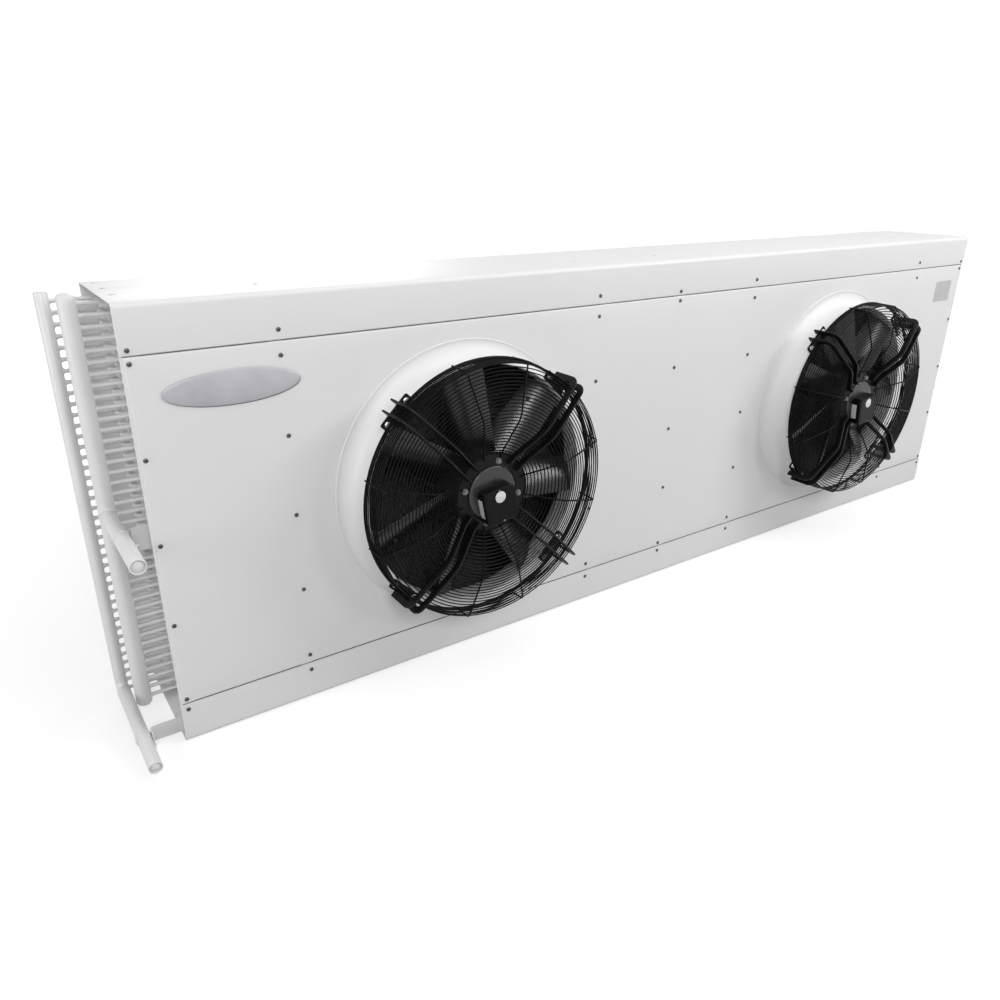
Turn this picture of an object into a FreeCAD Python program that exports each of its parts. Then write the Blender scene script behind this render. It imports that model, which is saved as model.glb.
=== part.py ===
"""Air-cooled refrigeration condenser with two axial fans, as a parametric assembly.

Frame: millimetres, +X along the casing seen from the fan side, +Y from the fans to the open
back, +Z up. The origin is the centre of the casing's footprint, on the underside.
"""
import FreeCAD, Part
import os
import Sketcher

doc = FreeCAD.newDocument("RefrigerationCondenser")
sizes = doc.addObject("Spreadsheet::Sheet", "Sizes")

# Driving dimensions: alias, value, meaning
DRIVING_SIZES = (
    ("casing_length", 3170, "casing, end to end"),
    ("casing_height", 1040, "casing, underside to top"),
    ("casing_depth", 355, "casing, fan panel to back edge"),
    ("sheet", 2, "thickness of the folded steel panels"),
    ("bend_radius", 12, "outside radius of the long front bends"),
    ("strip_height", 104, "front strips folded from the top and bottom panels"),
    ("rear_lip", 25, "lips folded at the back of the top and bottom panels"),
    ("seam_gap", 2, "gap between the fan panel and each strip"),
    ("panel_inset", 5, "fan panel's edge in from the casing end"),
    ("end_recess", 33, "tube sheets in from the casing ends"),
    ("base_hole_radius", 6.5, "fixing holes in the underside"),
    ("base_spacing_x", 2400, "fixing holes, along the casing"),
    ("base_spacing_y", 260, "fixing holes, across the casing"),
    ("stiffener_offset", 463, "stiffeners, to each side of a fan axis"),
    ("stiffener_flange", 30, "width of a stiffener's flange"),
    ("stiffener_web", 24, "depth of a stiffener's web"),
    ("coil_front", 197, "front of the fin block behind the fan panel"),
    ("row_pitch", 22, "tube rows, front to back"),
    ("tube_rows", 4, "number of tube rows"),
    ("tube_pitch", 25.4, "tubes in a row, one above the other"),
    ("coil_clearance", 8, "least gap between the fin block and the top or bottom panel"),
    ("fin_groove", 8, "width of a groove in the back of the fin block"),
    ("fin_groove_depth", 11, "depth of those grooves"),
    ("fin_groove_pitch", 200, "grooves, one beside the other"),
    ("tube_od", 9.52, "outside diameter of the coil tubes"),
    ("bend_reach", 23, "how far a return bend stands off its tube sheet"),
    ("bend_taper", 4, "how much a return bend narrows at each side"),
    ("gas_header_x", 50, "gas header's axis out from the casing end"),
    ("gas_header_radius", 19, "outside radius of the gas header"),
    ("spun_end", 8, "height of the gas header's spun foot"),
    ("liquid_header_drop", 6, "liquid header's top below the casing's top"),
    ("header_base", 2, "lowest point of the gas header above the underside"),
    ("gas_stub_height", 535, "axis of the gas inlet stub above the underside"),
    ("gas_stub_radius", 17.45, "outside radius of the gas inlet stub"),
    ("gas_stub_tip", 109, "gas stub's end forward of the fan panel"),
    ("liquid_header_x", 88, "liquid header's axis out from the casing end"),
    ("liquid_radius", 14.3, "outside radius of the liquid header"),
    ("liquid_stub_radius", 15.9, "outside radius of the liquid outlet stub"),
    ("liquid_stub_height", 32, "axis of the liquid outlet stub above the underside"),
    ("liquid_stub_tip", 94, "liquid stub's end forward of the fan panel"),
    ("elbow_radius", 22, "centre-line radius of the liquid elbow"),
    ("pipe_wall", 1.6, "wall of the two stubs"),
    ("plug_recess", 5, "how far a plug sits inside its stub"),
    ("clip_sheet", 2, "thickness of a pipe clip's strap"),
    ("clip_width", 16, "width of a pipe clip's strap"),
    ("clip_clearance", 0.2, "clip's bore over its pipe, on the radius"),
    ("bracket_sheet", 3, "thickness of the pipe brackets"),
    ("bracket_ear", 32, "width of a bracket's folded ends"),
    ("gas_bracket_depth", 72, "gas bracket behind the fan panel"),
    ("gas_bracket_height", 58, "height of the gas bracket's plate"),
    ("gas_bracket_rise", 12, "gas bracket's upper edge above the stub's axis"),
    ("liquid_bracket_depth", 42, "liquid bracket behind the fan panel"),
    ("liquid_bracket_height", 42, "height of the liquid bracket's plate"),
    ("liquid_bracket_base", 4, "liquid bracket's lower edge above the underside"),
    ("clip_tail", 14, "clip's tail below the pipe's surface"),
    ("fan_pitch", 1585, "distance between the two fan axes"),
    ("fan_height", 520, "fan axes above the underside"),
    ("bell_margin", 45, "bellmouth's rim to the nearest edge of the fan panel"),
    ("hole_lap", 5, "bellmouth's rim beyond the corners of the hole behind it"),
    ("panel_hole_sides", 24, "sides of that hole, under the bellmouth's flange"),
    ("flare_width", 50, "bellmouth's throat to its rim, on the radius"),
    ("bell_flare", 42, "length of the bellmouth's flare along its axis"),
    ("bell_depth", 86, "bellmouth, forward of the fan panel"),
    ("bell_sheet", 2, "thickness of the bellmouth"),
    ("tab_length", 39, "bellmouth's four tabs, out from its throat"),
    ("tab_width", 104, "width of a tab and of the foot on it"),
    ("ring_width", 4, "thickness of the guard's rings"),
    ("ring_sides", 24, "sides of a ring"),
    ("wire", 4, "thickness of the guard's light wires"),
    ("arm_bar", 9, "thickness of the guard's heavy arms"),
    ("arm_pair", 33, "between the two bars of an arm, centre to centre"),
    ("arm_gap_to_wires", 1, "arms forward of the middle of the light wires"),
    ("hub_ring_inner", 74, "hole in the guard's hub plate"),
    ("hub_ring_outer", 104, "rim of the guard's hub plate"),
    ("hub_ring_front", 136, "front of the hub plate, forward of the fan panel"),
    ("hub_ring_sheet", 4, "thickness of the hub plate"),
    ("wire_lap", 12, "how far a light wire lies on the hub plate"),
    ("wire_root", 1, "from the hub plate's rim to where a light wire leaves its plane"),
    ("arm_lap", 14, "how far an arm lies on the hub plate"),
    ("crown_radius", 208, "where the guard stands furthest forward"),
    ("crown_depth", 183, "guard's crown, forward of the fan panel"),
    ("guard_overhang", 20, "guard's front corner, out from the bellmouth's throat"),
    ("rim_depth", 160, "guard's front corner, forward of the fan panel"),
    ("guard_taper", 2, "guard's rear ring, out from the guard's front corner"),
    ("rear_ring_depth", 102, "guard's rear ring, forward of the fan panel"),
    ("foot_sheet", 3, "thickness of the guard's feet"),
    ("dome_radius", 72, "motor's front dome"),
    ("dome_length", 14, "dome, forward of the hub plate's front"),
    ("shield_radius", 98, "motor's front shield"),
    ("shield_sheet", 10, "thickness of the shield"),
    ("shaft_radius", 10, "radius of the motor shaft"),
    ("shaft_clearance", 0.05, "shield's bore over the shaft, on the radius"),
    ("shaft_front", 143, "shaft's front end, forward of the fan panel"),
    ("shaft_end_gap", 1, "between the shaft's end and its bore's end"),
    ("rotor_radius", 92, "outside of the motor's rotor"),
    ("rotor_front", 118, "rotor's front, forward of the fan panel"),
    ("rotor_back", 25, "rotor's back, forward of the fan panel"),
    ("box_width", 96, "terminal box, across"),
    ("box_height", 88, "terminal box, upright"),
    ("box_drop", 21, "middle of the terminal box below the fan axis"),
    ("box_depth", 18, "terminal box without its lid"),
    ("box_lid", 7, "thickness of the terminal box lid"),
    ("box_corner", 14, "corner radius of the terminal box"),
    ("blade_count", 7, "blades on each impeller"),
    ("tip_clearance", 7, "blade tips to the bellmouth's throat"),
    ("blade_middle", 70, "middle of the blades, forward of the fan panel"),
    ("blade_sheet", 3, "thickness of a blade"),
    ("blade_root_depth", 28, "where a blade's shape begins, inside the rotor can"),
    ("blade_chord", 156, "blade's width"),
    ("blade_pitch", 31, "blade's angle to the plane of rotation, in degrees"),
    ("camber", 12, "depth of a blade's curve"),
    ("first_blade", 99, "first blade's angle from +X at rest, in degrees"),
)
# Sizes that follow from them: alias, formula, meaning
NEAREST_EDGE = "min(fan_height; casing_height - fan_height) - strip_height - seam_gap"
DERIVED_SIZES = (
    ("tube_count", "=floor((casing_height - 2 * sheet - 2 * coil_clearance) / tube_pitch)",
     "tubes in each row"),
    ("coil_length", "=casing_length - 2 * (end_recess + sheet)", "fin block, between the tube sheets"),
    ("groove_count", "=floor(coil_length / fin_groove_pitch) - 1", "grooves in the back of the fin block"),
    ("bell_radius", f"={NEAREST_EDGE} - bell_margin", "rim of the bellmouth's flange"),
    ("panel_hole_radius", "=bell_radius - hole_lap", "corners of the hole in the fan panel"),
    ("throat_radius", "=bell_radius - flare_width", "inside of the bellmouth's throat"),
    ("tab_reach", "=throat_radius + tab_length", "ends of the tabs, out from the axis"),
    ("rim_radius", "=throat_radius + guard_overhang", "guard's front corner, out from the axis"),
    ("rear_ring_radius", "=rim_radius + guard_taper", "guard's rear ring, out from the axis"),
    ("blade_tip", "=throat_radius - tip_clearance", "blade tips, out from the axis"),
)
for row, (alias, content, meaning) in enumerate(DRIVING_SIZES + DERIVED_SIZES, start=1):
    sizes.set(f"A{row}", meaning)
    sizes.set(f"B{row}", str(content))
    sizes.setAlias(f"B{row}", alias)
doc.recompute()

# Places that many pieces share, as expressions of the driving dimensions
LEFT_END = "-Sizes.casing_length / 2"
RIGHT_END = "Sizes.casing_length / 2"
FRONT = "-Sizes.casing_depth / 2"
BACK = "Sizes.casing_depth / 2"
TOP = "Sizes.casing_height"
FIRST_TUBE = "(Sizes.casing_height - (Sizes.tube_count - 1) * Sizes.tube_pitch) / 2"
FIRST_ROW = f"{FRONT} + Sizes.coil_front + Sizes.row_pitch / 2"
LAST_ROW = f"{FIRST_ROW} + (Sizes.tube_rows - 1) * Sizes.row_pitch"
FANS = (("left", "-Sizes.fan_pitch / 2"), ("right", "Sizes.fan_pitch / 2"))
ARM_TURN = 45
SPOKE_TURN = 30
ARMS = 4
STRAP_SIDES = 12
pieces = []


def size(expression):
    """Number that an expression of the sheet gives now."""
    return float(sizes.evalExpression(str(expression)))


def add_piece(feature):
    """Keep a finished sub-part for the checks and the export."""
    pieces.append(feature)
    return feature


def place(feature, x="0", y="0", z="0"):
    """Bind a feature's position to expressions."""
    for axis, expression in zip("xyz", (x, y, z)):
        feature.setExpression(f"Placement.Base.{axis}", expression)


def new_body(label, x="0", y="0", z="0", keep=True):
    """PartDesign body with its place bound to the sheet."""
    body = doc.addObject("PartDesign::Body", label)
    body.Label = label
    place(body, x, y, z)
    return add_piece(body) if keep else body


def new_sketch(body, plane):
    """Empty sketch on one of the body's own origin planes."""
    sketch = body.newObject("Sketcher::SketchObject", body.Label + "_outline")
    support = [entry for entry in body.Origin.OriginFeatures if entry.Role == plane]
    sketch.AttachmentSupport = [(support[0], "")]
    sketch.MapMode = "FlatFace"
    return sketch


def outline(sketch, points):
    """Closed outline whose every corner is bound to a pair of expressions."""
    first = sketch.GeometryCount
    corners = [FreeCAD.Vector(size(across), size(up), 0) for across, up in points]
    for here, there in zip(corners, corners[1:] + corners[:1]):
        sketch.addGeometry(Part.LineSegment(here, there), False)
    count = len(points)
    for index in range(count):
        following = first + (index + 1) % count
        sketch.addConstraint(Sketcher.Constraint("Coincident", first + index, 2, following, 1))
    for index, pair in enumerate(points):
        for kind, expression, number in zip(("DistanceX", "DistanceY"), pair, corners[index][:2]):
            entry = sketch.addConstraint(Sketcher.Constraint(kind, first + index, 1, number))
            sketch.setExpression(f"Constraints[{entry}]", str(expression))


def open_line(sketch, points):
    """Chain of straight lines whose every corner is bound to a pair of expressions."""
    corners = [FreeCAD.Vector(size(across), size(up), 0) for across, up in points]
    for here, there in zip(corners, corners[1:]):
        sketch.addGeometry(Part.LineSegment(here, there), False)
    last = len(points) - 2
    for index in range(last):
        sketch.addConstraint(Sketcher.Constraint("Coincident", index, 2, index + 1, 1))
    for index, pair in enumerate(points):
        line, end = (index, 1) if index <= last else (last, 2)
        for kind, expression, number in zip(("DistanceX", "DistanceY"), pair, corners[index][:2]):
            entry = sketch.addConstraint(Sketcher.Constraint(kind, line, end, number))
            sketch.setExpression(f"Constraints[{entry}]", str(expression))


def rectangle(sketch, left, low, right, high):
    """Closed rectangle between two opposite corners."""
    outline(sketch, [(left, low), (right, low), (right, high), (left, high)])


def circle(sketch, across, up, radius):
    """Circle with its centre and radius bound to expressions."""
    centre = FreeCAD.Vector(size(across), size(up), 0)
    curve = Part.Circle(centre, FreeCAD.Vector(0, 0, 1), size(radius))
    index = sketch.addGeometry(curve, False)
    bound = (("DistanceX", across), ("DistanceY", up))
    for (kind, expression), number in zip(bound, (centre.x, centre.y)):
        entry = sketch.addConstraint(Sketcher.Constraint(kind, index, 3, number))
        sketch.setExpression(f"Constraints[{entry}]", str(expression))
    entry = sketch.addConstraint(Sketcher.Constraint("Radius", index, size(radius)))
    sketch.setExpression(f"Constraints[{entry}]", str(radius))


def pad(body, sketch, length, symmetric=False, backward=False):
    """Extrude a sketch; each body's pads keep names of their own."""
    feature = body.newObject("PartDesign::Pad", body.Label + "_pad")
    feature.Profile = sketch
    feature.SideType = "Symmetric" if symmetric else "One side"
    feature.Reversed = backward
    feature.setExpression("Length", length)
    body.Tip = feature
    return feature


def revolve(body, sketch):
    """Turn a profile of (radius, position along Y) once about the Y axis."""
    feature = body.newObject("PartDesign::Revolution", body.Label + "_turned")
    feature.Profile = sketch
    feature.ReferenceAxis = (sketch, ["V_Axis"])
    feature.Angle = 360
    body.Tip = feature
    return feature


def through_holes(body, sketch):
    """Pocket that goes right through, both ways from the sketch."""
    feature = body.newObject("PartDesign::Pocket", body.Label + "_holes")
    feature.Profile = sketch
    feature.Type = "ThroughAll"
    feature.SideType = "Symmetric"
    body.Tip = feature
    return feature


def line_of(body, feature, sketch, axis, count, step):
    """Equal copies of a feature in a straight line."""
    pattern = body.newObject("PartDesign::LinearPattern", body.Label + "_row")
    pattern.Originals = [feature]
    pattern.Direction = (sketch, [axis])
    pattern.setExpression("Occurrences", count)
    pattern.setExpression("Length", f"({step}) * (({count}) - 1)")
    body.Tip = pattern
    return pattern


def ring_of(body, features, sketch, axis, count):
    """Equal copies of some features around an axis of a sketch."""
    pattern = body.newObject("PartDesign::PolarPattern", body.Label + "_ring")
    pattern.Originals = features
    pattern.Axis = (sketch, [axis])
    pattern.Angle = 360
    pattern.Occurrences = count
    body.Tip = pattern
    return pattern


def box(label, corner, lengths):
    """Part box between bound faces."""
    feature = doc.addObject("Part::Box", label)
    feature.Label = label
    place(feature, *corner)
    for name, expression in zip(("Length", "Width", "Height"), lengths):
        feature.setExpression(name, expression)
    return feature


def cylinder(label, centre, axis, radius, height):
    """Part cylinder that starts at centre and runs along +X, +Y, -Y or +Z."""
    quarter = 90
    turns = {"+X": ((0, 1, 0), quarter), "+Y": ((1, 0, 0), -quarter),
             "-Y": ((1, 0, 0), quarter), "+Z": ((0, 0, 1), 0)}
    direction, angle = turns[axis]
    feature = doc.addObject("Part::Cylinder", label)
    feature.Label = label
    rotation = FreeCAD.Rotation(FreeCAD.Vector(*direction), angle)
    feature.Placement = FreeCAD.Placement(FreeCAD.Vector(), rotation)
    place(feature, *centre)
    feature.setExpression("Radius", radius)
    feature.setExpression("Height", height)
    return feature


def subtract(label, base, tool):
    """Boolean difference of two Part features."""
    feature = doc.addObject("Part::Cut", label)
    feature.Label = label
    feature.Base = base
    feature.Tool = tool
    return feature


def join(label, shapes):
    """Boolean union of Part features."""
    feature = doc.addObject("Part::MultiFuse", label)
    feature.Label = label
    feature.Shapes = shapes
    return feature


def compound(label, features):
    """One sub-part of several equal solids."""
    feature = doc.addObject("Part::Compound", label)
    feature.Label = label
    feature.Links = features
    return add_piece(feature)


def round_edges(body, base, radius, wanted):
    """Fillet the base feature's edges for which wanted(edge) holds."""
    doc.recompute()
    names = [f"Edge{number}" for number, edge in enumerate(base.Shape.Edges, start=1) if wanted(edge)]
    feature = body.newObject("PartDesign::Fillet", body.Label + "_rounded")
    feature.Base = (base, names)
    feature.setExpression("Radius", radius)
    body.Tip = feature
    return feature


def lies_along(edge, axis, **at):
    """True for a straight edge along an axis whose middle has the given coordinates."""
    box_of_edge = edge.BoundBox
    spans = {"x": box_of_edge.XLength, "y": box_of_edge.YLength, "z": box_of_edge.ZLength}
    middle = box_of_edge.Center
    near = all(abs(getattr(middle, name) - number) < 0.01 for name, number in at.items())
    return near and spans[axis] > 1 and all(spans[other] < 0.01 for other in "xyz" if other != axis)


# Casing: top and bottom panels are folded channels with a front strip and a rear lip
def folded_panel(label, outer, inner, strip_edge, lip_edge):
    body = new_body(label)
    sketch = new_sketch(body, "YZ_Plane")
    outline(sketch, [
        (FRONT, strip_edge), (FRONT, outer), (BACK, outer), (BACK, lip_edge),
        (f"{BACK} - Sizes.sheet", lip_edge), (f"{BACK} - Sizes.sheet", inner),
        (f"{FRONT} + Sizes.sheet", inner), (f"{FRONT} + Sizes.sheet", strip_edge)])
    channel = pad(body, sketch, "Sizes.casing_length", symmetric=True)
    front, outer_z = size(FRONT), size(outer)
    inner_y, inner_z = front + size("Sizes.sheet"), size(inner)
    bend = round_edges(body, channel, "Sizes.bend_radius",
                       lambda edge: lies_along(edge, "x", y=front, z=outer_z))
    round_edges(body, bend, "Sizes.bend_radius - Sizes.sheet",
                lambda edge: lies_along(edge, "x", y=inner_y, z=inner_z))
    return body


folded_panel("top_panel", TOP, f"{TOP} - Sizes.sheet",
             f"{TOP} - Sizes.strip_height", f"{TOP} - Sizes.rear_lip")
bottom_panel = folded_panel("bottom_panel", "0", "Sizes.sheet", "Sizes.strip_height", "Sizes.rear_lip")
base_holes = new_sketch(bottom_panel, "XY_Plane")
for side_x in ("-", ""):
    for side_y in ("-", ""):
        circle(base_holes, f"{side_x}Sizes.base_spacing_x / 2", f"{side_y}Sizes.base_spacing_y / 2",
               "Sizes.base_hole_radius")
through_holes(bottom_panel, base_holes)

# Fan panel: one flat sheet between the strips, with a hole behind each bellmouth
front_panel = new_body("front_panel", y=FRONT)
panel_sketch = new_sketch(front_panel, "XZ_Plane")
rectangle(panel_sketch, f"{LEFT_END} + Sizes.panel_inset", "Sizes.strip_height + Sizes.seam_gap",
          f"{RIGHT_END} - Sizes.panel_inset", f"{TOP} - Sizes.strip_height - Sizes.seam_gap")
for _, fan_x in FANS:
    outline(panel_sketch, [
        (f"{fan_x} + Sizes.panel_hole_radius * cos({corner} * 360 / Sizes.panel_hole_sides)",
         f"Sizes.fan_height + Sizes.panel_hole_radius * sin({corner} * 360 / Sizes.panel_hole_sides)")
        for corner in range(int(size("Sizes.panel_hole_sides")))])
pad(front_panel, panel_sketch, "Sizes.sheet", backward=True)


def bend_relief(body):
    """Notch an upright's front corners where the long bends of the top and bottom panels pass."""
    sketch = new_sketch(body, "YZ_Plane")
    notch = "(Sizes.bend_radius - Sizes.sheet)"
    height = f"({TOP} - 2 * Sizes.sheet)"
    behind_panel = f"{FRONT} + Sizes.sheet"
    for low, high in (("0", notch), (f"{height} - {notch}", height)):
        rectangle(sketch, behind_panel, low, f"{behind_panel} + {notch}", high)
    through_holes(body, sketch)


# End plates: tube sheets with front and rear flanges folded outwards
def end_plate(label, end, outward):
    body = new_body(label, z="Sizes.sheet")
    sketch = new_sketch(body, "XY_Plane")
    inside = f"{end} - ({outward}) * (Sizes.end_recess + Sizes.sheet)"
    face = f"{end} - ({outward}) * Sizes.end_recess"
    outline(sketch, [
        (end, f"{FRONT} + Sizes.sheet"), (inside, f"{FRONT} + Sizes.sheet"),
        (inside, f"{BACK} - Sizes.sheet"), (end, f"{BACK} - Sizes.sheet"),
        (end, f"{BACK} - 2 * Sizes.sheet"), (face, f"{BACK} - 2 * Sizes.sheet"),
        (face, f"{FRONT} + 2 * Sizes.sheet"), (end, f"{FRONT} + 2 * Sizes.sheet")])
    pad(body, sketch, f"{TOP} - 2 * Sizes.sheet")
    bend_relief(body)


end_plate("left_end_plate", LEFT_END, "-1")
end_plate("right_end_plate", RIGHT_END, "1")

# Partition between the two fan chambers, with a flange behind the fan panel
partition = new_body("centre_partition", z="Sizes.sheet")
partition_sketch = new_sketch(partition, "XY_Plane")
outline(partition_sketch, [
    ("-Sizes.stiffener_flange - Sizes.sheet / 2", f"{FRONT} + Sizes.sheet"),
    ("Sizes.sheet / 2", f"{FRONT} + Sizes.sheet"), ("Sizes.sheet / 2", f"{FRONT} + Sizes.coil_front"),
    ("-Sizes.sheet / 2", f"{FRONT} + Sizes.coil_front"), ("-Sizes.sheet / 2", f"{FRONT} + 2 * Sizes.sheet"),
    ("-Sizes.stiffener_flange - Sizes.sheet / 2", f"{FRONT} + 2 * Sizes.sheet")])
pad(partition, partition_sketch, f"{TOP} - 2 * Sizes.sheet")
bend_relief(partition)

# Upright angles that stiffen the fan panel on both sides of each fan
stiffeners = new_body("fan_stiffeners", z="Sizes.sheet")
stiffener_sketch = new_sketch(stiffeners, "XY_Plane")
for _, fan_x in FANS:
    for sign in ("-1", "1"):
        heel = f"{fan_x} + ({sign}) * Sizes.stiffener_offset"
        toe = f"{heel} + ({sign}) * Sizes.stiffener_flange"
        inner_heel = f"{heel} + ({sign}) * Sizes.sheet"
        outline(stiffener_sketch, [
            (heel, f"{FRONT} + Sizes.sheet"), (toe, f"{FRONT} + Sizes.sheet"),
            (toe, f"{FRONT} + 2 * Sizes.sheet"), (inner_heel, f"{FRONT} + 2 * Sizes.sheet"),
            (inner_heel, f"{FRONT} + Sizes.sheet + Sizes.stiffener_web"),
            (heel, f"{FRONT} + Sizes.sheet + Sizes.stiffener_web")])
pad(stiffeners, stiffener_sketch, f"{TOP} - 2 * Sizes.sheet")
bend_relief(stiffeners)

# Coil: the finned block between the tube sheets. Of the gaps between its fins, some are drawn as
# upright grooves in its back, in a row about the casing's middle
fin_pack = new_body("fin_pack", z=f"{FIRST_TUBE} - Sizes.tube_pitch / 2")
block_sketch = new_sketch(fin_pack, "XY_Plane")
block_front = f"({FRONT} + Sizes.coil_front)"
block_back = f"({block_front} + Sizes.tube_rows * Sizes.row_pitch)"
block_height = "Sizes.tube_count * Sizes.tube_pitch"
rectangle(block_sketch, "-Sizes.coil_length / 2", block_front, "Sizes.coil_length / 2", block_back)
pad(fin_pack, block_sketch, block_height)
groove_sketch = new_sketch(fin_pack, "XY_Plane")
first_groove = "-(Sizes.groove_count - 1) / 2 * Sizes.fin_groove_pitch"
rectangle(groove_sketch, f"{first_groove} - Sizes.fin_groove / 2", f"{block_back} - Sizes.fin_groove_depth",
          f"{first_groove} + Sizes.fin_groove / 2", block_back)
groove = through_holes(fin_pack, groove_sketch)
line_of(fin_pack, groove, groove_sketch, "H_Axis", "Sizes.groove_count", "Sizes.fin_groove_pitch")


# Feed tubes: short four-sided runs from a header to the left tube sheet
def feed_tubes(label, header_x, header_radius, row):
    body = new_body(label, x=f"{LEFT_END} - {header_x} + {header_radius}", y=row, z=FIRST_TUBE)
    sketch = new_sketch(body, "YZ_Plane")
    half = "Sizes.tube_od * sqrt(pi) / 4"
    rectangle(sketch, f"-{half}", f"-{half}", half, half)
    tube = pad(body, sketch, f"{header_x} - {header_radius} + Sizes.end_recess")
    line_of(body, tube, sketch, "V_Axis", "Sizes.tube_count", "Sizes.tube_pitch")


feed_tubes("gas_feed_tubes", "Sizes.gas_header_x", "Sizes.gas_header_radius", FIRST_ROW)
feed_tubes("liquid_feed_tubes", "Sizes.liquid_header_x", "Sizes.liquid_radius", LAST_ROW)


# Return bends: each joins two neighbouring rows outside a tube sheet, drawn as a closed lug
def return_bends(label, tube_sheet, outward, rows):
    body = new_body(label, x=tube_sheet, z=f"{FIRST_TUBE} - Sizes.tube_od / 2")
    sketch = new_sketch(body, "XY_Plane")
    reach = f"({outward}) * Sizes.bend_reach"
    for row in rows:
        near = f"{FIRST_ROW} + {row} * Sizes.row_pitch - Sizes.tube_od / 2"
        far = f"{FIRST_ROW} + {row + 1} * Sizes.row_pitch + Sizes.tube_od / 2"
        outline(sketch, [("0", near), (reach, f"{near} + Sizes.bend_taper"),
                         (reach, f"{far} - Sizes.bend_taper"), ("0", far)])
    bend = pad(body, sketch, "Sizes.tube_od")
    line_of(body, bend, sketch, "N_Axis", "Sizes.tube_count", "Sizes.tube_pitch")


return_bends("left_return_bends", f"{LEFT_END} + Sizes.end_recess", "-1", (1,))
return_bends("right_return_bends", f"{RIGHT_END} - Sizes.end_recess", "1", (0, 2))

# Gas header: an upright pipe with its foot spun closed, and a stub brazed to its front
GAS_X = f"{LEFT_END} - Sizes.gas_header_x"
gas_header = new_body("gas_header", x=GAS_X, y=FIRST_ROW)
gas_header_sketch = new_sketch(gas_header, "XZ_Plane")
spun_radius = "Sizes.gas_header_radius - Sizes.spun_end"
outline(gas_header_sketch, [
    ("0", "Sizes.header_base"), (spun_radius, "Sizes.header_base"),
    ("Sizes.gas_header_radius", "Sizes.header_base + Sizes.spun_end"),
    ("Sizes.gas_header_radius", f"{TOP} - Sizes.header_base"), ("0", f"{TOP} - Sizes.header_base")])
revolve(gas_header, gas_header_sketch)


# A stub is a pipe along -Y whose plug sits a little way inside its mouth
def stub(label, centre, radius, start, tip):
    length = f"({start}) - ({FRONT}) + {tip}"
    outside = cylinder(label + "_outside", (centre[0], start, centre[1]), "-Y", radius, length)
    bore = cylinder(label + "_bore", (centre[0], f"{FRONT} - {tip}", centre[1]), "+Y",
                    f"{radius} - Sizes.pipe_wall", "Sizes.plug_recess")
    return subtract(label, outside, bore)


gas_stub_blank = stub("gas_stub_blank", (GAS_X, "Sizes.gas_stub_height"), "Sizes.gas_stub_radius",
                      FIRST_ROW, "Sizes.gas_stub_tip")
header_outside = cylinder("gas_header_outside", (GAS_X, FIRST_ROW, "0"), "+Z",
                          "Sizes.gas_header_radius", TOP)
add_piece(subtract("gas_inlet_stub", gas_stub_blank, header_outside))

# Liquid header: an upright pipe whose foot turns forward to the outlet stub in three mitres
LIQUID_X = f"{LEFT_END} - Sizes.liquid_header_x"
liquid_header = new_body("liquid_header", x=LIQUID_X, y=LAST_ROW)
header_top = f"{TOP} - Sizes.liquid_header_drop"
route = new_sketch(liquid_header, "YZ_Plane")
far_bend, near_bend = "Sizes.elbow_radius * tan(15)", "Sizes.elbow_radius * (1 - tan(15))"
first_turn = f"Sizes.liquid_stub_height + Sizes.elbow_radius - {far_bend}"
middle_turn = "Sizes.elbow_radius * (1 - sqrt(3) / 2 + tan(15) / 2)"
open_line(route, [
    ("0", header_top), ("0", first_turn),
    (f"-{middle_turn}", f"Sizes.liquid_stub_height + {middle_turn}"),
    (f"-({near_bend})", "Sizes.liquid_stub_height"), ("-Sizes.elbow_radius", "Sizes.liquid_stub_height")])
section = new_sketch(liquid_header, "XY_Plane")
section.setExpression("AttachmentOffset.Base.z", header_top)
circle(section, "0", "0", "Sizes.liquid_radius")
pipe = liquid_header.newObject("PartDesign::AdditivePipe", "liquid_header_pipe")
pipe.Profile = section
pipe.Spine = route
pipe.Transition = "Right corner"
liquid_header.Tip = pipe
add_piece(stub("liquid_outlet_stub", (LIQUID_X, "Sizes.liquid_stub_height"), "Sizes.liquid_stub_radius",
               f"{LAST_ROW} - Sizes.elbow_radius", "Sizes.liquid_stub_tip"))


# Pipe brackets: a plate folded at the tube sheet and again beside its pipe
def pipe_bracket(label, pipe_x, pipe_radius, depth, low, height):
    body = new_body(label, z=low)
    sketch = new_sketch(body, "XY_Plane")
    web = f"{LEFT_END} + Sizes.end_recess"
    beside = f"{pipe_x} + {pipe_radius} + Sizes.clip_clearance + Sizes.clip_sheet"
    plate = f"{FRONT} + {depth}"
    ear_end = f"{plate} - Sizes.bracket_ear"
    outline(sketch, [
        (beside, ear_end), (f"{beside} + Sizes.bracket_sheet", ear_end),
        (f"{beside} + Sizes.bracket_sheet", plate), (f"{web} - Sizes.bracket_sheet", plate),
        (f"{web} - Sizes.bracket_sheet", ear_end), (web, ear_end),
        (web, f"{plate} + Sizes.bracket_sheet"), (beside, f"{plate} + Sizes.bracket_sheet")])
    pad(body, sketch, height)


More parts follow.
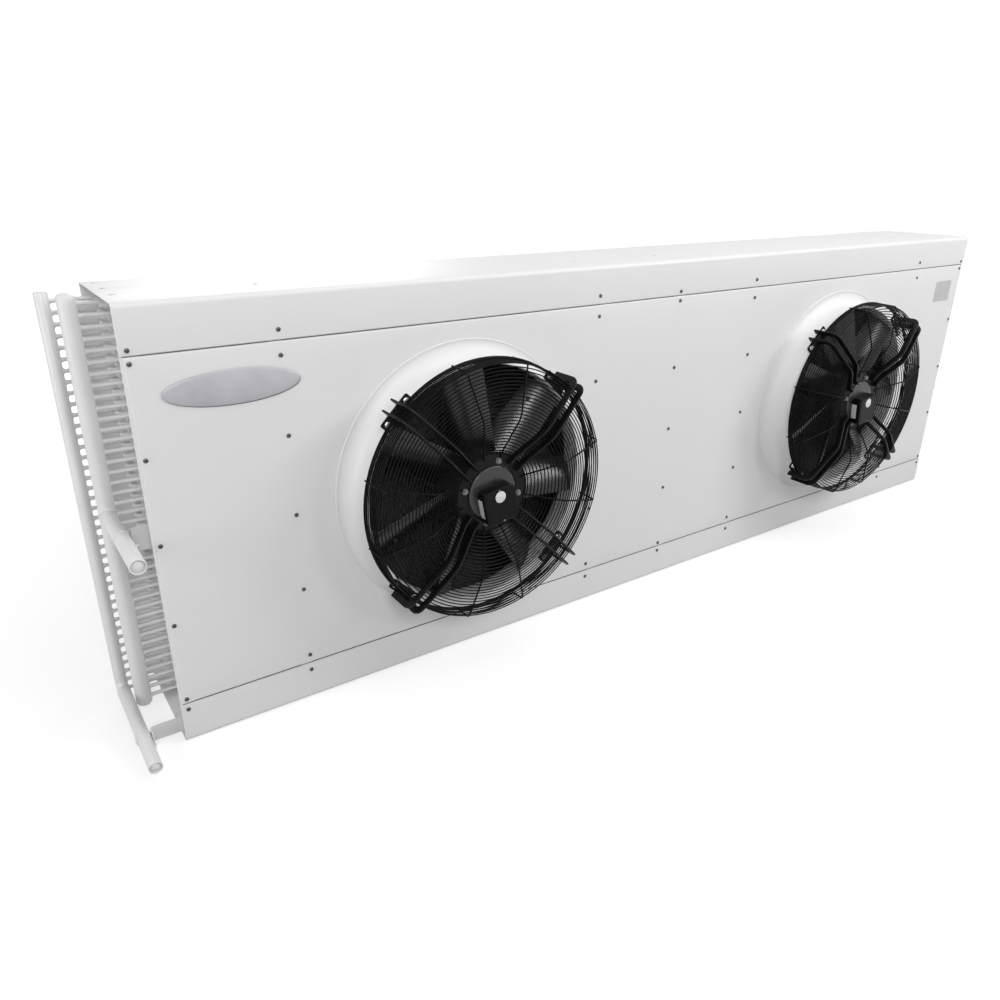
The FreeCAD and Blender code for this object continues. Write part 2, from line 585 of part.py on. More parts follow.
# Pipe clips: a many-sided strap round the pipe with a tail on the bracket's folded end
def pipe_clip(label, pipe_x, pipe_z, pipe_radius, depth):
    rear = f"{FRONT} + {depth} - Sizes.bracket_ear / 2 + Sizes.clip_width / 2"
    flats = f"cos(180 / {STRAP_SIDES})"
    bore_radius = f"{pipe_radius} + Sizes.clip_clearance"
    bands = []
    for name, radius in (("outside", f"{bore_radius} + Sizes.clip_sheet"), ("inside", bore_radius)):
        band = doc.addObject("Part::Prism", f"{label}_{name}")
        band.Polygon = STRAP_SIDES
        facing = FreeCAD.Rotation(FreeCAD.Vector(1, 0, 0), 90)
        half_side = FreeCAD.Rotation(FreeCAD.Vector(0, 1, 0), 180 / STRAP_SIDES)
        band.Placement = FreeCAD.Placement(FreeCAD.Vector(), half_side * facing)
        place(band, pipe_x, rear, pipe_z)
        band.setExpression("Circumradius", f"({radius}) / {flats}")
        band.setExpression("Height", "Sizes.clip_width")
        bands.append(band)
    tail_length = f"{pipe_radius} + Sizes.clip_tail"
    tail = box(
        label + "_tail",
        (f"{pipe_x} + {bore_radius}", f"{rear} - Sizes.clip_width", f"{pipe_z} - ({tail_length})"),
        ("Sizes.clip_sheet", "Sizes.clip_width", tail_length))
    return join(label, [subtract(label + "_ring", *bands), tail])


GAS_BRACKET_LOW = "Sizes.gas_stub_height + Sizes.gas_bracket_rise - Sizes.gas_bracket_height"
pipe_bracket("gas_stub_bracket", GAS_X, "Sizes.gas_stub_radius", "Sizes.gas_bracket_depth",
             GAS_BRACKET_LOW, "Sizes.gas_bracket_height")
pipe_bracket("liquid_stub_bracket", LIQUID_X, "Sizes.liquid_stub_radius", "Sizes.liquid_bracket_depth",
             "Sizes.liquid_bracket_base", "Sizes.liquid_bracket_height")
compound("stub_clips", [
    pipe_clip("gas_clip", GAS_X, "Sizes.gas_stub_height", "Sizes.gas_stub_radius", "Sizes.gas_bracket_depth"),
    pipe_clip("liquid_clip", LIQUID_X, "Sizes.liquid_stub_height", "Sizes.liquid_stub_radius",
              "Sizes.liquid_bracket_depth")])


# Fans: static pieces are turned so that their arms lie on the diagonals
def fan_body(label, fan_x, turn=0, keep=True):
    body = new_body(label, fan_x, FRONT, "Sizes.fan_height", keep)
    body.Placement.Rotation = FreeCAD.Rotation(FreeCAD.Vector(0, 1, 0), turn)
    return body


def bellmouth(label, fan_x):
    """Spun inlet ring with a flared foot on the fan panel and four tabs for the guard."""
    body = fan_body(label, fan_x, ARM_TURN, keep=False)
    profile = new_sketch(body, "XY_Plane")
    neck = "-Sizes.bell_sheet - Sizes.bell_flare"
    flare_middle = "(1 - sqrt(0.5)) * (Sizes.bell_radius - Sizes.throat_radius - Sizes.bell_sheet)"
    outline(profile, [
        ("Sizes.bell_radius", "0"),
        (f"Sizes.throat_radius + Sizes.bell_sheet + {flare_middle}",
         "-Sizes.bell_sheet - (1 - sqrt(0.5)) * Sizes.bell_flare"),
        ("Sizes.throat_radius + Sizes.bell_sheet", neck),
        ("Sizes.throat_radius + Sizes.bell_sheet", "-Sizes.bell_depth"),
        ("Sizes.throat_radius", "-Sizes.bell_depth"), ("Sizes.throat_radius", neck),
        (f"Sizes.throat_radius + {flare_middle}", "-(1 - sqrt(0.5)) * Sizes.bell_flare"),
        ("Sizes.bell_radius - 2 * Sizes.bell_sheet", "0")])
    revolve(body, profile)
    tab_sketch = new_sketch(body, "XZ_Plane")
    tab_sketch.setExpression("AttachmentOffset.Base.z", "Sizes.bell_depth - Sizes.bell_sheet")
    rectangle(tab_sketch, "Sizes.throat_radius + Sizes.bell_sheet / 2", "-Sizes.tab_width / 2",
              "Sizes.tab_reach", "Sizes.tab_width / 2")
    tab = pad(body, tab_sketch, "Sizes.bell_sheet")
    ring_of(body, [tab], tab_sketch, "N_Axis", ARMS)
    return body


def guard_ring(label, fan_x, radius, depth):
    """Many-sided band about the fan axis, with its front at the given depth."""
    across_flats = "cos(180 / Sizes.ring_sides)"
    bands = []
    for name, sign in (("outside", "+"), ("inside", "-")):
        edge = f"({radius} {sign} Sizes.ring_width / 2)"
        band = doc.addObject("Part::Prism", f"{label}_{name}")
        band.setExpression("Polygon", "Sizes.ring_sides")
        facing = FreeCAD.Rotation(FreeCAD.Vector(1, 0, 0), 90)
        half_side = FreeCAD.Rotation(FreeCAD.Vector(0, 1, 0), 180 / size("Sizes.ring_sides"))
        band.Placement = FreeCAD.Placement(FreeCAD.Vector(), half_side * facing)
        place(band, fan_x, f"{FRONT} - ({depth}) + Sizes.ring_width", "Sizes.fan_height")
        band.setExpression("Circumradius", f"{edge} / {across_flats}")
        band.setExpression("Height", "Sizes.ring_width")
        bands.append(band)
    return subtract(label, bands[0], bands[1])


def wire_guard(label, fan_x):
    """Rings welded behind bent radial wires, whose inner ends lie on the hub plate."""
    wires = fan_body(label + "_wires", fan_x, ARM_TURN, keep=False)
    spokes = []
    for turn in (SPOKE_TURN, 2 * SPOKE_TURN):
        sketch = new_sketch(wires, "XY_Plane")
        sketch.AttachmentOffset = FreeCAD.Placement(
            FreeCAD.Vector(), FreeCAD.Rotation(FreeCAD.Vector(0, 1, 0), turn))
        half = "Sizes.wire / 2"
        outline(sketch, [
            ("Sizes.hub_ring_outer - Sizes.wire_lap", "-Sizes.hub_ring_front"),
            ("Sizes.hub_ring_outer - Sizes.wire_lap", "-Sizes.hub_ring_front - Sizes.wire"),
            ("Sizes.hub_ring_outer", "-Sizes.hub_ring_front - Sizes.wire"),
            ("Sizes.crown_radius", f"-Sizes.crown_depth - {half}"),
            (f"Sizes.rim_radius + {half}", f"-Sizes.rim_depth - {half}"),
            (f"Sizes.rear_ring_radius + {half}", "-Sizes.rear_ring_depth"),
            (f"Sizes.rear_ring_radius - {half}", "-Sizes.rear_ring_depth"),
            (f"Sizes.rim_radius - {half}", f"-Sizes.rim_depth + {half}"),
            ("Sizes.crown_radius", f"-Sizes.crown_depth + {half}"),
            ("Sizes.hub_ring_outer + Sizes.wire_root", "-Sizes.hub_ring_front")])
        spokes.append(pad(wires, sketch, "Sizes.wire", symmetric=True))
    axis_sketch = new_sketch(wires, "XZ_Plane")
    ring_of(wires, spokes, axis_sketch, "N_Axis", ARMS)
    slope = "(Sizes.crown_depth - Sizes.rim_depth) / (Sizes.rim_radius - Sizes.crown_radius)"
    crown_ring = "(Sizes.crown_radius + Sizes.ring_width / 2)"
    rim_ring = "(Sizes.rim_radius - Sizes.wire / 2 - Sizes.ring_width / 2)"
    rings = [guard_ring(label + "_rear", fan_x, "Sizes.rear_ring_radius", "Sizes.rear_ring_depth")]
    middle_ring = f"(({crown_ring} + {rim_ring}) / 2)"
    for name, radius in (("crown", crown_ring), ("middle", middle_ring), ("rim", rim_ring)):
        outer_edge = f"({radius} + Sizes.ring_width / 2 - Sizes.crown_radius)"
        depth = f"Sizes.crown_depth - Sizes.wire / 2 - {outer_edge} * {slope}"
        rings.append(guard_ring(f"{label}_{name}", fan_x, radius, depth))
    compound(label, [wires] + rings)


def guard_frame(label, fan_x):
    """Hub plate, four arms of two bars each and the feet they stand on, welded together."""
    body = fan_body(label, fan_x, ARM_TURN, keep=False)
    plate_sketch = new_sketch(body, "XZ_Plane")
    plate_sketch.setExpression("AttachmentOffset.Base.z", "Sizes.hub_ring_front - Sizes.hub_ring_sheet")
    circle(plate_sketch, "0", "0", "Sizes.hub_ring_outer")
    circle(plate_sketch, "0", "0", "Sizes.hub_ring_inner")
    pad(body, plate_sketch, "Sizes.hub_ring_sheet")
    bars = []
    start, bar = "Sizes.hub_ring_outer - Sizes.arm_lap", "Sizes.arm_bar"
    leg = "Sizes.rear_ring_radius + Sizes.ring_width / 2"
    foot_front = "-Sizes.bell_depth - Sizes.foot_sheet"
    for sign in ("-", ""):
        bar_sketch = new_sketch(body, "XY_Plane")
        bar_sketch.setExpression("AttachmentOffset.Base.z", f"{sign}Sizes.arm_pair / 2")
        outline(bar_sketch, [
            (start, "-Sizes.hub_ring_front"), (start, f"-Sizes.hub_ring_front - {bar}"),
            ("Sizes.crown_radius", f"-Sizes.crown_depth - {bar} - Sizes.arm_gap_to_wires"),
            (f"{leg} + {bar}", f"-Sizes.rim_depth - {bar} + Sizes.arm_gap_to_wires"),
            (f"{leg} + {bar}", foot_front), (leg, foot_front),
            (leg, "-Sizes.rim_depth - Sizes.arm_gap_to_wires"),
            ("Sizes.crown_radius", "-Sizes.crown_depth - Sizes.arm_gap_to_wires"),
            ("Sizes.hub_ring_outer", "-Sizes.hub_ring_front")])
        bars.append(pad(body, bar_sketch, bar, symmetric=True))
    foot_sketch = new_sketch(body, "XZ_Plane")
    foot_sketch.setExpression("AttachmentOffset.Base.z", "Sizes.bell_depth")
    rectangle(foot_sketch, "Sizes.throat_radius + Sizes.bell_sheet", "-Sizes.tab_width / 2",
              "Sizes.tab_reach", "Sizes.tab_width / 2")
    foot = pad(body, foot_sketch, "Sizes.foot_sheet")
    ring_of(body, bars + [foot], foot_sketch, "N_Axis", ARMS)
    return body


def impeller(label, fan_x):
    """Closed drum of the external-rotor motor with its shaft, and the blades welded round it.

    A blade's tip is straight, and its corners are at the tip radius.
    """
    body = fan_body(label, fan_x, 90 - size("Sizes.first_blade"))
    sketch = new_sketch(body, "XY_Plane")
    sketch.setExpression("AttachmentOffset.Base.z", "Sizes.rotor_radius - Sizes.blade_root_depth")
    corners = []
    upper = (("-1", "0"), ("0", "1"), ("1", "0"))
    faces = [(*corner, "1") for corner in upper] + [(*corner, "-1") for corner in upper[::-1]]
    for edge, bow, face in faces:
        across = f"({edge} * Sizes.blade_chord / 2)"
        rise = f"({bow} * Sizes.camber + {face} * Sizes.blade_sheet / 2)"
        sideways = f"{across} * cos(Sizes.blade_pitch) - {rise} * sin(Sizes.blade_pitch)"
        forward = f"{across} * sin(Sizes.blade_pitch) + {rise} * cos(Sizes.blade_pitch)"
        corners.append((sideways, f"-Sizes.blade_middle - ({forward})"))
    outline(sketch, corners)
    half_width = "(Sizes.blade_chord / 2 * cos(Sizes.blade_pitch))"
    flat_tip = f"sqrt(Sizes.blade_tip ^ 2 - {half_width} ^ 2)"
    blade = pad(body, sketch, f"{flat_tip} - Sizes.rotor_radius + Sizes.blade_root_depth")
    rim_sketch = new_sketch(body, "XZ_Plane")
    ring_of(body, [blade], rim_sketch, "N_Axis", int(size("Sizes.blade_count")))
    drum = new_sketch(body, "XY_Plane")
    outline(drum, [
        ("0", "-Sizes.rotor_back"), ("Sizes.rotor_radius", "-Sizes.rotor_back"),
        ("Sizes.rotor_radius", "-Sizes.rotor_front"), ("Sizes.shaft_radius", "-Sizes.rotor_front"),
        ("Sizes.shaft_radius", "-Sizes.shaft_front"), ("0", "-Sizes.shaft_front")])
    revolve(body, drum)


def motor_shield(label, fan_x):
    """Motor's fixed front: a flange behind the hub plate, a dome through it and the shaft's bore."""
    body = fan_body(label, fan_x, keep=False)
    sketch = new_sketch(body, "XY_Plane")
    flange_front = "-Sizes.hub_ring_front + Sizes.hub_ring_sheet"
    flange_back = f"{flange_front} + Sizes.shield_sheet"
    bore = "Sizes.shaft_radius + Sizes.shaft_clearance"
    bore_end = "-Sizes.shaft_front - Sizes.shaft_end_gap"
    outline(sketch, [
        ("0", f"-{DOME_FRONT}"), ("Sizes.dome_radius", f"-{DOME_FRONT}"), ("Sizes.dome_radius", flange_front),
        ("Sizes.shield_radius", flange_front), ("Sizes.shield_radius", flange_back),
        (bore, flange_back), (bore, bore_end), ("0", bore_end)])
    revolve(body, sketch)
    return body


DOME_FRONT = "(Sizes.hub_ring_front + Sizes.dome_length)"


def terminal_box(side, fan_x):
    """Connection box on the motor's dome, with a flat lid."""
    for name, back, depth in (("terminal_box", DOME_FRONT, "Sizes.box_depth"),
                              ("terminal_lid", f"({DOME_FRONT} + Sizes.box_depth)", "Sizes.box_lid")):
        body = fan_body(f"{side}_{name}", fan_x)
        sketch = new_sketch(body, "XZ_Plane")
        sketch.setExpression("AttachmentOffset.Base.z", back)
        across, up, cut = "Sizes.box_width / 2", "Sizes.box_height / 2", "Sizes.box_corner"
        middle = "-Sizes.box_drop"
        outline(sketch, [
            (f"-{across} + {cut}", f"{middle} - {up}"), (f"{across} - {cut}", f"{middle} - {up}"),
            (across, f"{middle} - {up} + {cut}"), (across, f"{middle} + {up} - {cut}"),
            (f"{across} - {cut}", f"{middle} + {up}"), (f"-{across} + {cut}", f"{middle} + {up}"),
            (f"-{across}", f"{middle} + {up} - {cut}"), (f"-{across}", f"{middle} - {up} + {cut}")])
        pad(body, sketch, depth)


shared = {"bellmouths": [], "guard_frames": [], "motor_shields": []}
for side, fan_x in FANS:
    shared["bellmouths"].append(bellmouth(f"{side}_bellmouth", fan_x))
    wire_guard(f"{side}_wire_guard", fan_x)
    shared["guard_frames"].append(guard_frame(f"{side}_guard_frame", fan_x))
    shared["motor_shields"].append(motor_shield(f"{side}_motor_shield", fan_x))
    terminal_box(side, fan_x)
    impeller(f"{side}_impeller", fan_x)
for label, features in shared.items():
    compound(label, features)

doc.recompute()
for feature in doc.Objects:
    if "Invalid" in feature.State or "Error" in feature.State:
        raise RuntimeError(f"{feature.Label} did not recompute: {feature.State}")
labels = [feature.Label for feature in pieces]
if len(set(labels)) != len(labels):
    raise RuntimeError("two sub-parts share a label")
for feature in pieces:
    if feature.Shape.isNull() or not feature.Shape.isValid() or not feature.Shape.Solids:
        raise RuntimeError(f"{feature.Label} has no valid solid")

os.makedirs("parts", exist_ok=True)
for feature in pieces:
    feature.Shape.exportStep(f"parts/{feature.Label}.step")
    print(f"{feature.Label}: {len(feature.Shape.Solids)} solids, {feature.Shape.Volume / 1000:.1f} cm3")
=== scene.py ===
"""Looks of an air-cooled refrigeration condenser with two axial fans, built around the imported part.

Everything is in metres in the part's own frame: +X along the casing away from the pipe headers,
+Y from the fans to the open back of the coil, +Z up from the underside.
"""

import bmesh
import bpy
import numpy as np
from mathutils import Matrix, Vector


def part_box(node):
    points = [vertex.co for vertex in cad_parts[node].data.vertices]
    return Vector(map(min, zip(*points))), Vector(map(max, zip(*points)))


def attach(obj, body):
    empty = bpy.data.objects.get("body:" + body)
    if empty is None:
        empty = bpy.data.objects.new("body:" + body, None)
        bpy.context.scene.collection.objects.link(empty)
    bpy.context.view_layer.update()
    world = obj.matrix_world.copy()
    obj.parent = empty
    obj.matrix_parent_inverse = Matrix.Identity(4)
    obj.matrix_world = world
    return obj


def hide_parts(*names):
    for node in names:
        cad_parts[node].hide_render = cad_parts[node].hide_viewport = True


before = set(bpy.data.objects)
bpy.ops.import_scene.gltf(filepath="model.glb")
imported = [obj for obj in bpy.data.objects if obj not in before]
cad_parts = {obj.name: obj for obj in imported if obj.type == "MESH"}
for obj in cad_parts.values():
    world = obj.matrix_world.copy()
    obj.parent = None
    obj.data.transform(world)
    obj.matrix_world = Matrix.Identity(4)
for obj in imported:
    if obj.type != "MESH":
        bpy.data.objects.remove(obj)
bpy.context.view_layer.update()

# Camera
# The photograph's viewpoint: left of the casing, a little above its top, looking down along it.
CAMERA_PLACE = (-1.85185, -1.88172, 1.29263)
CAMERA_TURN, CAMERA_DIP, CAMERA_ROLL = np.radians((34.6617, 22.7633, -0.5276))
FOCAL_LENGTH_PIXELS = 800.955

look = Vector((np.sin(CAMERA_TURN) * np.cos(CAMERA_DIP), np.cos(CAMERA_TURN) * np.cos(CAMERA_DIP), -np.sin(CAMERA_DIP)))
level = look.cross(Vector((0, 0, 1))).normalized()
down = look.cross(level)
sideways = np.cos(CAMERA_ROLL) * level + np.sin(CAMERA_ROLL) * down
upright = np.sin(CAMERA_ROLL) * level - np.cos(CAMERA_ROLL) * down
camera = bpy.data.objects.new("photo_camera", bpy.data.cameras.new("photo_camera"))
camera.data.sensor_width = 36
camera.data.lens = FOCAL_LENGTH_PIXELS / 1000 * camera.data.sensor_width
camera.data.clip_end = 100
camera.matrix_world = Matrix((sideways, upright, -look)).transposed().to_4x4()
camera.location = CAMERA_PLACE
bpy.context.scene.collection.objects.link(camera)
bpy.context.scene.camera = camera
bpy.context.scene.view_settings.view_transform = "Standard"

# Casing panels
# Folded sheet steel in off-white powder coat. The top and bottom panels are channels with a front
# strip and a rear lip, and the fan panel between the strips has folded edges; screws hold them.
LEFT_END, PANEL_FRONT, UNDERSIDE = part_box("bottom_panel")[0]
RIGHT_END, BACK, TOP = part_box("top_panel")[1]
SHEET = 0.002
STRIP_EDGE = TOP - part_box("top_panel")[0].z
LONG_BEND, HEM_BEND, HEM, REAR_LIP, PANEL_BEND = 0.012, 0.003, 0.012, 0.025, 0.0045
FAN_HEIGHT = 0.52
FAN_LINES = {"left": -0.7925, "right": 0.7925}


def grid_quads(rows, columns, closed_rows, closed_columns):
    """Corner numbers of a grid's quads: each joins a point, its next in the row and the two in the next row.

    A closed direction joins its last line to its first.
    """
    row, column = np.meshgrid(np.arange(rows if closed_rows else rows - 1),
                              np.arange(columns if closed_columns else columns - 1), indexing="ij")
    next_row, next_column = (row + 1) % rows, (column + 1) % columns
    corners = (row * columns + column, row * columns + next_column,
               next_row * columns + next_column, next_row * columns + column)
    return np.stack(corners, axis=-1).reshape(-1, 4)


def make_piece(name, surfaces, material, body="casing", replaces=(), sharp=35, outward=None):
    """One mesh piece from several point grids, welded, with its faces outward, riding on a body.

    A surface is (points, closed_rows, closed_columns). Its points are rows by columns by xyz, or
    copies of such a grid in leading dimensions.
    """
    every_point, every_quad, count = [], [], 0
    for points, closed_rows, closed_columns in surfaces:
        points = np.asarray(points, float)
        rows, columns = points.shape[-3:-1]
        copies = points.reshape(-1, rows * columns, 3)
        quads = grid_quads(rows, columns, closed_rows, closed_columns)
        starts = count + np.arange(len(copies))[:, None, None] * rows * columns
        every_point.append(copies.reshape(-1, 3))
        every_quad.append((quads + starts).reshape(-1, 4))
        count += copies.shape[0] * copies.shape[1]
    mesh = bpy.data.meshes.new(name)
    mesh.from_pydata(np.concatenate(every_point), [], np.concatenate(every_quad))
    welded = bmesh.new()
    welded.from_mesh(mesh)
    bmesh.ops.remove_doubles(welded, verts=welded.verts, dist=2e-6)
    if outward is None:
        bmesh.ops.recalc_face_normals(welded, faces=welded.faces)
    elif sum((face.normal * face.calc_area() for face in welded.faces), Vector()).dot(outward) < 0:
        bmesh.ops.reverse_faces(welded, faces=welded.faces)
    welded.to_mesh(mesh)
    welded.free()
    mesh.shade_smooth()
    mesh.set_sharp_from_angle(angle=np.radians(sharp))
    mesh.materials.append(material)
    piece = bpy.data.objects.new(name, mesh)
    bpy.context.scene.collection.objects.link(piece)
    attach(piece, body)
    if replaces:
        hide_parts(*replaces)
    return piece


def coat(name, shades, patch, gloss, grain, relief, metallic=0.0, dents=None, specks=None, mirror=0.5):
    """Coated or bare metal, all on Object coordinates.

    A slow noise of the given patch size moves the colour between two shades and the roughness between
    two values; a fine noise of the grain size lifts the surface by the relief; dents is (size, depth)
    of a long wave in the sheet, specks is (size, colour, share) of small dust marks, and mirror is how
    strongly the coat reflects when seen squarely.
    """
    material = bpy.data.materials.new(name)
    material.use_nodes = True
    nodes, links = material.node_tree.nodes, material.node_tree.links
    shader = nodes["Principled BSDF"]
    shader.inputs["Metallic"].default_value = metallic
    shader.inputs["Specular IOR Level"].default_value = mirror
    place = nodes.new("ShaderNodeTexCoord").outputs["Object"]

    def noise(size, detail=3.0):
        made = nodes.new("ShaderNodeTexNoise")
        made.inputs["Scale"].default_value = 1 / size
        made.inputs["Detail"].default_value = detail
        made.inputs["Roughness"].default_value = 0.55
        links.new(place, made.inputs["Vector"])
        return made.outputs["Fac"]

    slow = noise(patch, 5.0)
    tone = nodes.new("ShaderNodeValToRGB")
    for stop, where, shade in zip(tone.color_ramp.elements, (0.32, 0.68), shades):
        stop.position, stop.color = where, (*shade, 1)
    links.new(slow, tone.inputs["Fac"])
    colour = tone.outputs["Color"]
    if specks:
        size, mark, share = specks
        spread = nodes.new("ShaderNodeMapRange")
        spread.inputs["From Min"].default_value, spread.inputs["From Max"].default_value = 0.66, 0.74
        spread.inputs["To Max"].default_value = share
        links.new(noise(size, 2.0), spread.inputs["Value"])
        dusted = nodes.new("ShaderNodeMix")
        dusted.data_type = "RGBA"
        dusted.inputs["B"].default_value = (*mark, 1)
        links.new(spread.outputs["Result"], dusted.inputs["Factor"])
        links.new(colour, dusted.inputs["A"])
        colour = dusted.outputs["Result"]
    links.new(colour, shader.inputs["Base Color"])
    sheen = nodes.new("ShaderNodeMapRange")
    sheen.inputs["From Min"].default_value, sheen.inputs["From Max"].default_value = 0.3, 0.7
    sheen.inputs["To Min"].default_value, sheen.inputs["To Max"].default_value = gloss
    links.new(noise(patch / 4), sheen.inputs["Value"])
    links.new(sheen.outputs["Result"], shader.inputs["Roughness"])
    raised = None
    for size, height in [(grain, relief)] + ([dents] if dents else []):
        bump = nodes.new("ShaderNodeBump")
        bump.inputs["Strength"].default_value = 1.0
        bump.inputs["Distance"].default_value = height
        links.new(noise(size, 1.0), bump.inputs["Height"])
        if raised:
            links.new(raised, bump.inputs["Normal"])
        raised = bump.outputs["Normal"]
    links.new(raised, shader.inputs["Normal"])
    return material


casing_paint = coat("casing_powder_coat", ((0.715, 0.718, 0.716), (0.735, 0.737, 0.734)), 0.5, (0.40, 0.5),
                    0.0022, 0.00002, dents=(0.45, 0.0010), specks=(0.006, (0.64, 0.64, 0.62), 0.15))


def eased_line(corners, radii, steps=8):
    """Points of a line whose corners are rounded: at each corner the arc that touches both runs."""
    corners = np.asarray(corners, float)
    points = [corners[:1]]
    for before, corner, after, radius in zip(corners, corners[1:], corners[2:], radii):
        back, ahead = before - corner, after - corner
        back, ahead = back / np.linalg.norm(back), ahead / np.linalg.norm(ahead)
        half = np.arccos(np.clip(back @ ahead, -1, 1)) / 2
        middle = (back + ahead) / np.linalg.norm(back + ahead)
        centre = corner + middle * radius / np.sin(half)
        sweep = np.linspace(-1, 1, steps)[:, None] * (np.pi / 2 - half)
        across = ahead - back
        across = across / np.linalg.norm(across)
        points.append(centre - radius * np.cos(sweep) * middle + radius * np.sin(sweep) * across)
    return np.concatenate(points + [corners[-1:]])


def wall_loop(line, thickness):
    """Closed loop round a flat line's wall: out along the line and back along the same line moved to its left."""
    along = np.gradient(line, axis=0)
    along /= np.linalg.norm(along, axis=1, keepdims=True)
    return line, line + thickness * np.stack((-along[:, 1], along[:, 0]), axis=1)


SCREW_COLUMNS = np.array((0.0155, 0.312, 1.195, 1.50, 1.829, 2.74, 3.0315)) * TOP + LEFT_END
END_SCREWS_X, END_SCREWS_Y, TOP_SCREWS_Y = (LEFT_END + 0.024, RIGHT_END - 0.024), (0.121, 0.223, 0.325), 0.125
SEAT_FLAT, SEAT_EDGE, SEAT_DEPTH = 0.0062, 0.0092, 0.0032
top_seats = np.array([(x, PANEL_FRONT + TOP_SCREWS_Y) for x in SCREW_COLUMNS[1:-1]]
                     + [(x, PANEL_FRONT + y) for x in END_SCREWS_X for y in END_SCREWS_Y])


def seated_channel(name, line, replaces):
    """A folded panel: its (y, z) line and the line's wall, drawn along the casing. Round each screw in
    its top the sheet is pressed down by the seat's depth, which falls to nothing by a cosine between the
    seat's flat and its edge.
    """
    spread = np.linspace(-SEAT_EDGE, SEAT_EDGE, 13)
    stations = np.unique(np.round(np.concatenate(
        [(LEFT_END, RIGHT_END)] + [x + spread for x in np.unique(top_seats[:, 0])]), 6))
    rows = np.unique(np.round(np.concatenate([y + spread for y in np.unique(top_seats[:, 1])]), 6))[::-1]
    longest = np.argmax(np.linalg.norm(np.diff(line, axis=0), axis=1))
    line = np.insert(line, longest + 1, np.column_stack((rows, 0 * rows + TOP)), axis=0)
    outer, inner = wall_loop(line, SHEET)
    loop = np.concatenate((outer, inner[::-1]))
    skin = np.empty((len(stations), len(loop), 3))
    skin[..., 0], skin[..., 1:] = stations[:, None], loop
    away = np.hypot(*np.moveaxis(skin[..., None, :2] - top_seats, -1, 0)).min(axis=-1)
    fall = np.clip((away - SEAT_FLAT) / (SEAT_EDGE - SEAT_FLAT), 0, 1)
    skin[..., 2] -= SEAT_DEPTH * (1 + np.cos(np.pi * fall)) / 2 * (skin[..., 2] > TOP - 2 * SHEET)
    rims = np.empty((2, 2, len(line), 3))
    rims[..., 0] = stations[[0, -1], None, None]
    rims[..., 1:] = np.stack((outer, inner))
    return make_piece(name, [(skin, False, True), (rims, False, False)], casing_paint,
                      replaces=replaces)


seated_channel("top_channel", eased_line(
    [(BACK, TOP - REAR_LIP), (BACK, TOP), (PANEL_FRONT, TOP), (PANEL_FRONT, TOP - STRIP_EDGE),
     (PANEL_FRONT + HEM, TOP - STRIP_EDGE)], (HEM_BEND, LONG_BEND, HEM_BEND)), ["top_panel"])


def square_to_ring(centre, radius, low, high, steps):
    """Matching points on a circle and on the rectangle round it, both as (n, 2), anticlockwise."""
    share = np.linspace(0, 1, steps, endpoint=False)[:, None]
    corners = np.array(((low[0], low[1]), (high[0], low[1]), (high[0], high[1]), (low[0], high[1])))
    edge = np.concatenate([start + share * (end - start)
                           for start, end in zip(corners, np.roll(corners, -1, axis=0))])
    spoke = edge - centre
    return centre + radius * spoke / np.linalg.norm(spoke, axis=1, keepdims=True), edge


def fan_panel_half(fan_x, hole_radius, low, high, seam_side):
    """Half of the fan panel round one hole: from the hole to the rectangle's edge, round the folds and
    back along the inside. The side where the halves meet has no fold.
    """
    centre = np.array((fan_x, FAN_HEIGHT))
    flat_low, flat_high = np.array(low, float), np.array(high, float)
    flat_low[1] += PANEL_BEND
    flat_high[1] -= PANEL_BEND
    if seam_side == "high":
        flat_low[0] += PANEL_BEND
    else:
        flat_high[0] -= PANEL_BEND
    ring, edge = square_to_ring(centre, hole_radius, flat_low, flat_high, 32)
    away = (np.isclose(edge, flat_high).astype(float) - np.isclose(edge, flat_low))
    away[:, 0] *= ~np.isclose(edge[:, 0], high[0] if seam_side == "high" else low[0])
    folds = np.abs(away).max(axis=1) > 0
    turn = np.linspace(0, np.pi / 2, 6)[:, None]
    flat = [ring + share * (edge - ring) for share in (0.0, 0.15, 0.4, 0.7, 1.0)]
    bend = [edge + PANEL_BEND * np.sin(angle) * away for angle in turn[1:]]
    inside = [edge + (PANEL_BEND - SHEET) * np.sin(angle) * away for angle in turn[::-1]]
    depths = [0 * folds] * len(flat) + [PANEL_BEND * (1 - np.cos(angle)) * folds for angle in turn[1:]]
    depths += [HEM * folds + SHEET * ~folds] * 2
    depths += [(PANEL_BEND - (PANEL_BEND - SHEET) * np.cos(angle)) * folds + SHEET * ~folds for angle in turn[::-1]]
    plan = flat + bend + [bend[-1], inside[0]] + inside + [ring]
    depths.append(np.full(len(edge), SHEET))
    points = np.empty((len(plan), len(edge), 3))
    points[..., [0, 2]] = np.stack(plan)
    points[..., 1] = PANEL_FRONT + np.stack(depths)
    return points, True, True


panel_low, panel_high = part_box("front_panel")
make_piece("fan_panel", [
    fan_panel_half(FAN_LINES["left"], 0.362, (panel_low.x, panel_low.z), (0, panel_high.z), "high"),
    fan_panel_half(FAN_LINES["right"], 0.362, (0, panel_low.z), (panel_high.x, panel_high.z), "low")],
    casing_paint, replaces=["front_panel"])
for node in ("bottom_panel", "left_end_plate", "right_end_plate", "centre_partition", "fan_stiffeners"):
    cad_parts[node].data.materials.clear()
    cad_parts[node].data.materials.append(casing_paint)

